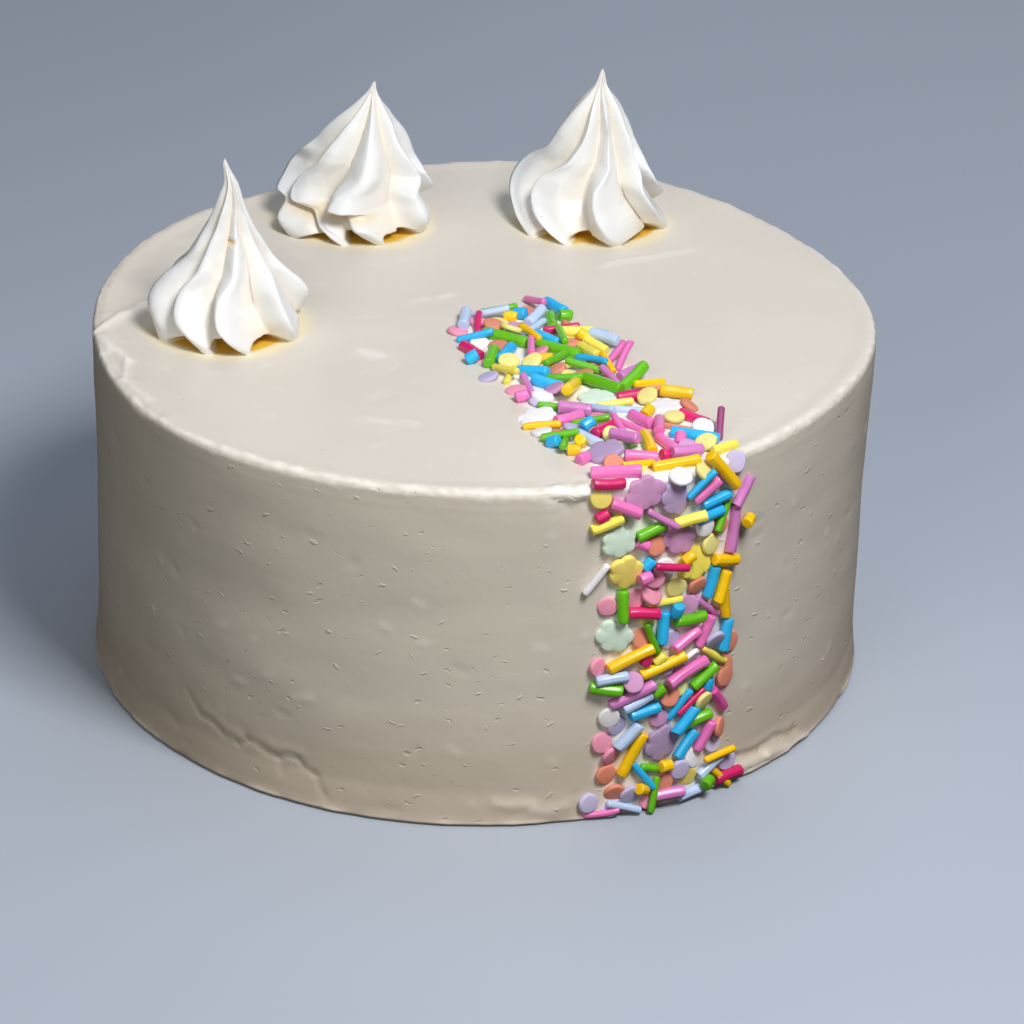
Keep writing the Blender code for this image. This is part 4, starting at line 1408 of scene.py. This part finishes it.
@dataclass
class PipedSwirl:
    """A swirl of cream piped with an open star: pleated, twisted and drawn up to a point.

    form holds (share of the height, share of the widest radius). A tier is a fold that runs round
    part of the swirl: the pleats above it hang over the ones below. A hole's place is (degrees
    round the swirl, share of the height), and its size is given in squares of radians and of that
    share. Levels are shares of the height, and depths of the radius.
    """

    name: str
    foot: tuple[float, float]
    radius: float
    height: float
    lean: tuple[float, float]
    twist: float
    phase: float
    form: tuple[tuple[float, float], ...]
    seed: int
    tip_bend: tuple[float, float] = (0.0, 0.0)
    tier_level: float = 0.22
    tier_depth: float = 0.0
    tier_middle: float = 0.0
    tier_half_angle: float = 58.0
    tier_slip: float = 0.0
    hole: tuple[float, float] | None = None
    hole_size: tuple[float, float] = (0.02, 0.0002)
    hole_depth: float = 0.22
    cake_height: float = 89.6 * MM
    ridges: int = 8
    steps_a_ridge: int = 30
    rows: int = 120
    ridge_depth: float = 0.4
    foot_depth: float = 0.12
    foot_share: float = 0.24
    valley_place: float = 0.70
    arch_height: float = 0.062
    arch_depth: float = 0.42
    arch_start: float = 0.16
    arch_rounding: float = 0.6
    shoulder: float = 0.24
    belly_top: tuple[float, float] = (0.46, 0.34)
    belly_foot: tuple[float, float] = (-0.05, 0.26)
    sway: float = 0.16
    ripple: float = 0.025
    ripples: float = 3.0
    weave: float = 0.05
    weaves: float = 1.6
    crease: float = 0.028
    crease_top: tuple[float, float] = (0.62, 0.4)
    crease_foot: tuple[float, float] = (0.0, 0.12)
    # Painted shade in the folds, near the foot and under the tier
    fold_painted_shade: float = 0.24
    foot_painted_shade: float = 0.12
    tier_painted_shade: float = 0.4
    wide_side: float = -55.0
    wide_share: float = 0.0
    toe_turn: float = 0.5
    toe_level: float = 0.34
    tip_radius: float = 0.35 * MM
    seat: float = 0.25 * MM

    def section(self) -> list[tuple[float, float]]:
        """The smooth section as (radius, share of the height), from the tip down to the foot.

        Returns:
            The rows, closest together at the foot and the tip, and the middle of the foot.
        """
        marks = [*self.form, (0.985, self.tip_radius / self.radius), (1.0, 0.0)]
        levels = np.array([level for level, _ in marks])
        shares = np.array([share for _, share in marks])
        slopes = np.gradient(shares, levels)
        even = 1.0 - np.arange(1, self.rows + 1) / self.rows
        level = 0.65 * even + 0.35 * (0.5 - 0.5 * np.cos(math.pi * even))
        index = np.clip(np.searchsorted(levels, level, side="right") - 1, 0, len(levels) - 2)
        gap = levels[index + 1] - levels[index]
        t = (level - levels[index]) / gap
        share = (2 * t ** 3 - 3 * t ** 2 + 1) * shares[index]
        share += (t ** 3 - 2 * t ** 2 + t) * gap * slopes[index]
        share += (3 * t ** 2 - 2 * t ** 3) * shares[index + 1]
        share += (t ** 3 - t ** 2) * gap * slopes[index + 1]
        radii = np.maximum(share, 0.2 * self.tip_radius / self.radius) * self.radius
        return [(0.0, 1.0), *zip(radii.tolist(), level.tolist()), (0.0, 0.0)]

    def lobes(self) -> np.ndarray:
        """Each pleat's own faults: columns for bulge, its level, sway, phase and arch."""
        rng = random.Random(self.seed)
        rows = [
            (
                rng.uniform(-0.03, 0.09), rng.uniform(-0.05, 0.05), rng.uniform(0.5, 1.2),
                rng.uniform(0.0, math.tau), rng.uniform(0.7, 1.4),
            )
            for _ in range(self.ridges)
        ]
        return np.array(rows)

    def pleat(self, turns: np.ndarray) -> np.ndarray:
        """How far a place is from its crest: 0 on the crest and 1 in the valley.

        Args:
            turns: The angle round the swirl, counted in pleats.

        Returns:
            The distance, which rises slowly on one side of the crest and fast on the other.
        """
        part = np.mod(turns, 1.0)
        steep = (1.0 - part) / (1.0 - self.valley_place)
        near = np.where(part < self.valley_place, part / self.valley_place, steep)
        return 0.5 * near + 0.5 * (0.5 - 0.5 * np.cos(math.pi * near))

    def tier(self, angle: np.ndarray, level: np.ndarray) -> tuple[np.ndarray, np.ndarray]:
        """The fold that hangs over part of the foot.

        Args:
            angle: The angle round the swirl, in radians.
            level: The share of the height.

        Returns:
            How far each place is tucked in under the fold, and whether it is below it, 0 to 1.
        """
        off = np.abs(np.mod(np.degrees(angle) - self.tier_middle + 180.0, 360.0) - 180.0)
        reach = 1.0 - ramp(off, self.tier_half_angle - 20.0, self.tier_half_angle + 20.0)
        edge = self.tier_level + 0.02 * np.sin(3.0 * angle + self.phase)
        below = reach * ramp(level, edge + 0.008, edge - 0.008)
        return below * (1.0 - ramp(edge - level, 0.02, 0.11)), below

    def uneven(self, angle: np.ndarray) -> np.ndarray:
        """How much wider or narrower than round the swirl is on each side."""
        return 1.0 + 0.05 * np.cos(2 * angle + self.phase) + 0.04 * np.cos(3 * angle - 2 * self.phase)

    def toe_reach(self, angle: np.ndarray) -> np.ndarray:
        """How far out the toes of the pleats stand on the icing, on each side."""
        return self.form[0][1] * self.radius * self.uneven(angle - self.toe_turn)

    def pipe(self, plain: np.ndarray) -> tuple[np.ndarray, np.ndarray]:
        """Pleats, twists and bends the plain turned form.

        Args:
            plain: The places on the plain form, with the share of the height as Z.

        Returns:
            The places on the swirl, and its painted shade, 0 to 1: in the folds, the arches, the hole, near
            the foot and under the tier.
        """
        angle = np.arctan2(plain[:, 1], plain[:, 0])
        radius, level = np.hypot(plain[:, 0], plain[:, 1]), plain[:, 2]
        widened = self.wide_share * np.sin(angle - math.radians(self.wide_side))
        turns = (angle - widened) * self.ridges / math.tau
        owner = np.floor(turns + 1.0 - self.valley_place).astype(int) % self.ridges
        bulge, bulge_level, sway, phase, arched = self.lobes()[owner].T
        fold = self.pleat(turns)
        crest = 1.0 - fold
        low = np.clip(1.0 - level / self.foot_share, 0.0, 1.0)
        depth = self.ridge_depth + (self.foot_depth - self.ridge_depth) * low
        depth = depth * (0.55 + 0.45 * ramp(level, 1.0, 0.75))
        rounding = np.sqrt(np.clip((fold - self.arch_start) / self.arch_rounding, 0.0, 1.0))
        arch_top = self.arch_height * arched * rounding
        arch = ramp(fold, self.arch_start, self.arch_start + 0.1)
        arch = arch * ramp(level, arch_top + 0.008, arch_top - 0.006)
        shifted = level + bulge_level
        held = ramp(shifted, *self.belly_top) * ramp(shifted, *self.belly_foot)
        cut, under = self.tier(angle, level)
        own = 1.0 + crest * bulge * held
        rippled = np.sin(math.tau * self.ripples * level + phase) * ramp(level, 0.9, 0.6)
        own += self.ripple * crest * rippled
        creased = ramp(level, *self.crease_top) * ramp(level, *self.crease_foot)
        own += self.crease * np.cos(2.0 * math.tau * turns + phase) * creased
        radius = radius * self.uneven(angle) * own * (1.0 - depth * fold)
        radius *= (1.0 - self.arch_depth * arch) * (1.0 - self.tier_depth * cut)
        # Painted shade in the arches, the folds, near the foot and under the tier
        painted_glow_and_shade = arch + self.fold_painted_shade * fold + self.foot_painted_shade * low ** 2
        painted_glow_and_shade = np.clip(painted_glow_and_shade + self.tier_painted_shade * cut * (self.tier_depth > 0.0), 0.0, 1.0)
        if self.hole:
            aside = (angle - math.radians(self.hole[0])) ** 2 / self.hole_size[0]
            above = (level - self.hole[1]) ** 2 / self.hole_size[1]
            hole = np.exp(-(aside + above))
            radius *= 1.0 - self.hole_depth * hole
            # Painted shade in the hole
            painted_glow_and_shade = np.maximum(painted_glow_and_shade, hole)
        turn = math.radians(self.twist) * level
        turn += self.sway * np.sin(math.tau * level + self.phase + 2 * angle)
        turn -= (0.3 + 0.7 * crest) * sway * self.shoulder * held
        turn += self.weave * np.sin(math.tau * self.weaves * level + phase) * ramp(level, 0.95, 0.7)
        turn += self.toe_turn * np.clip(1.0 - level / self.toe_level, 0.0, 1.0) ** 1.5
        turn += under * math.radians(self.tier_slip)
        middle = np.array(self.foot) + np.outer(level ** 1.5, self.lean)
        middle += np.outer(ramp(level, 0.84, 1.0), self.tip_bend)
        around = np.stack([np.cos(angle + turn), np.sin(angle + turn)], 1)
        height = self.cake_height - self.seat + level * (self.height + self.seat)
        return np.column_stack([middle + radius[:, None] * around, height]), painted_glow_and_shade

    def build(self) -> bpy.types.Object:
        """Builds the swirl with its painted shade as an attribute.

        Returns:
            The piece.
        """
        plain = revolve(self.section(), self.ridges * self.steps_a_ridge, 8)
        piece = new_piece(self.name + "_cream", plain)
        places, painted_glow_and_shade = self.pipe(read(piece.data.vertices, "co"))
        piece.data.vertices.foreach_set("co", places.ravel())
        piece.data.update()
        share = np.clip((places[:, 2] - self.cake_height) / self.height, 0.0, 1.0)
        lumps = 0.3 * MM * rough(places, 8.0 * MM, self.seed)
        lumps += 0.05 * MM * rough(places, 1.6 * MM, seed=3.0)
        lumps *= ramp(share, 1.0, 0.7) * ramp(share, 0.0, 0.04)
        places += read(piece.data.vertices, "normal") * lumps[:, None]
        piece.data.vertices.foreach_set("co", places.ravel())
        store(piece, "painted_glow_and_shade", painted_glow_and_shade)
        piece.data.update()
        return piece


SWIRLS = (
    PipedSwirl(
        "swirl_left", (-63.0 * MM, -9.2 * MM), 19.4 * MM, 43.2 * MM, (0.8 * MM, 3.4 * MM), 26.0, 0.3,
        (
            (0, 0.94), (0.06, 0.98), (0.17, 0.98), (0.31, 0.80),
            (0.42, 0.56), (0.58, 0.32), (0.77, 0.15), (0.92, 0.05),
        ),
        seed=3, tip_bend=(-1.6 * MM, 0.0), hole=(-96.0, 0.56),
    ),
    PipedSwirl(
        "swirl_middle", (-33.7 * MM, 58.2 * MM), 19.8 * MM, 37.5 * MM, (4.4 * MM, 2.0 * MM), 22.0, 1.1,
        (
            (0, 0.94), (0.07, 0.99), (0.19, 1.00), (0.32, 0.90),
            (0.53, 0.66), (0.74, 0.36), (0.86, 0.16), (0.94, 0.05),
        ),
        seed=11, tier_depth=0.16, tier_middle=-140.0, tier_slip=18.0, wide_share=0.32,
    ),
    PipedSwirl(
        "swirl_right", (26.1 * MM, 62.6 * MM), 20.0 * MM, 41.0 * MM, (2.6 * MM, 1.6 * MM), 24.0, 2.0,
        (
            (0, 0.94), (0.08, 0.99), (0.19, 0.99), (0.33, 0.85),
            (0.45, 0.66), (0.60, 0.50), (0.75, 0.33), (0.90, 0.08),
        ),
        seed=7,
    ),
)


@dataclass(frozen=True)
class Softbox:
    """A soft square light that faces the cake."""

    name: str
    azimuth: float
    elevation: float
    distance: float
    size: float
    watts: float
    colour: tuple[float, float, float]


@dataclass
class Studio:
    """The plain pale floor, the soft lights and the camera at the photograph's angle."""

    floor_half: float = 3.0
    floor_paint: tuple[int, int, int] = (172, 181, 196)
    target: tuple[float, float, float] = (0.0, 0.0, 0.05)
    boxes: tuple[Softbox, ...] = (
        Softbox("key", 32.0, 54.0, 1.0, 0.3, 9.0, (1.0, 0.985, 0.95)),
        Softbox("fill", -22.0, 26.0, 1.1, 0.5, 2.7, (1.0, 0.975, 0.86)),
        Softbox("overhead", 180.0, 78.0, 1.6, 1.2, 4.9, (0.68, 0.78, 1.0)),
        Softbox("back", 168.0, 16.0, 1.3, 0.7, 1.3, (0.84, 0.9, 1.0)),
    )
    world_paint: tuple[float, float, float] = (0.055, 0.055, 0.055)
    camera_place: tuple[float, float, float] = (0.0, -1.2006, 0.6444)
    pitch: float = math.radians(26.88)
    yaw: float = math.radians(0.41)
    roll: float = math.radians(-1.78)
    lens: float = 187.8
    sensor: float = 36.0

    def build(self) -> None:
        """Builds the floor, the lights, the world's dim light and the camera."""
        scene = bpy.context.scene
        scene.view_settings.view_transform = "Standard"
        self.build_floor()
        for box in self.boxes:
            self.build_light(box)
        world = bpy.data.worlds.new("room")
        world.use_nodes = True
        world.node_tree.nodes["Background"].inputs[0].default_value = (*self.world_paint, 1.0)
        scene.world = world
        scene.camera = self.build_camera()

    def build_floor(self) -> None:
        """Builds the floor, a flat sheet a hair below the cake's base."""
        shape = bmesh.new()
        bmesh.ops.create_grid(shape, x_segments=1, y_segments=1, size=self.floor_half)
        bmesh.ops.translate(shape, verts=shape.verts, vec=(0.0, 0.0, -0.2 * MM))
        floor = new_piece("floor", shape)
        material, tree, shader = new_material("pale_floor")
        place = tree.add("TexCoord").outputs["Object"]
        cloud = tree.add("TexNoise", {"Vector": place, "Scale": 3.0, "Detail": 2.0}).outputs["Fac"]
        paint = linear(self.floor_paint)
        colour = tree.mix(cloud, (*[0.96 * c for c in paint], 1.0), (*[1.04 * c for c in paint], 1.0))
        tree.fill(shader, {"Base Color": colour, "Roughness": 0.55})
        floor.data.materials.append(material)
        floor.visible_diffuse = False
        floor.visible_glossy = False
        floor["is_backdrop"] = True

    def build_light(self, box: Softbox) -> None:
        """Builds one soft light and turns it to the cake.

        Args:
            box: The light.
        """
        lamp = bpy.data.lights.new(box.name, "AREA")
        lamp.shape = "SQUARE"
        lamp.size = box.size
        lamp.energy = box.watts
        lamp.color = box.colour
        around, up = math.radians(box.azimuth), math.radians(box.elevation)
        way = Vector((math.sin(around) * math.cos(up), -math.cos(around) * math.cos(up), math.sin(up)))
        holder = bpy.data.objects.new(box.name, lamp)
        holder.location = Vector(self.target) + box.distance * way
        holder.rotation_euler = (-way).to_track_quat("-Z", "Y").to_euler()
        bpy.context.scene.collection.objects.link(holder)

    def build_camera(self) -> bpy.types.Object:
        """Builds the camera from its place, pitch, yaw and roll.

        Returns:
            The camera.
        """
        level = math.cos(self.pitch)
        ahead = Vector((math.sin(self.yaw) * level, math.cos(self.yaw) * level, -math.sin(self.pitch)))
        right = Vector((math.cos(self.yaw), -math.sin(self.yaw), 0.0))
        down = ahead.cross(right)
        side = math.cos(self.roll) * right + math.sin(self.roll) * down
        below = math.cos(self.roll) * down - math.sin(self.roll) * right
        lens = bpy.data.cameras.new("camera")
        lens.lens = self.lens
        lens.sensor_width = self.sensor
        lens.clip_end = 10.0
        camera = bpy.data.objects.new("camera", lens)
        camera.matrix_world = Matrix((side, -below, -ahead)).transposed().to_4x4()
        camera.location = self.camera_place
        bpy.context.scene.collection.objects.link(camera)
        return camera


def main() -> None:
    """Builds every piece in order, reports each piece, and works out the bounds of the model and of the
    scene.
    """
    logging.basicConfig(level=logging.INFO, format="%(name)s: %(message)s")
    effects = Effects()
    # The icing's paint, painted highlight, painted glow, painted amber shade, and painted shade towards the
    # base
    icing = CreamFinish(
        "icing", (217, 210, 200), (250, 247, 243), (238, 228, 196), (226, 182, 62), painted_base_shade=0.5,
    ).material(effects)
    # The cream's paint, a highlight paint that the swirls don't use, painted fold shade and painted amber
    # shade
    cream = CreamFinish(
        "swirl_cream", (234, 236, 240), (240, 241, 243), (232, 217, 188), (222, 176, 66), roughness=0.4,
        coat=0.2, soak=0.12, grain=2.2 * MM, mark_share=0.12, relief=0.05 * MM, nick_depth=0.06 * MM,
        nick_share=0.25,
    ).material(effects)
    gloss = SugarFinish("sprinkle_gloss", 0.36, 0.3, 0.7 * MM, 0.015 * MM, 0.03).material(effects)
    matte = SugarFinish("sprinkle_matte", 0.72, 0.0, 0.35 * MM, 0.03 * MM, 0.04).material(effects)
    cake = IcedCake()
    band = SprinkleBand(cake)
    dress(cake.build(SWIRLS, band.smear), icing, "icing", ["cake"])
    for piece in band.build():
        flat = piece.name.endswith(("flower", "disc"))
        dress(piece, matte if flat else gloss, "sprinkle_matte" if flat else "sprinkle_gloss", ["cake"])
    for swirl in SWIRLS:
        dress(swirl.build(), cream, "swirl_cream", [swirl.name])
    Studio().build()
    [[list(map(float, corner)) for corner in box] for box in (CAD_BOX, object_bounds())]


if __name__ == "__main__":
    main()
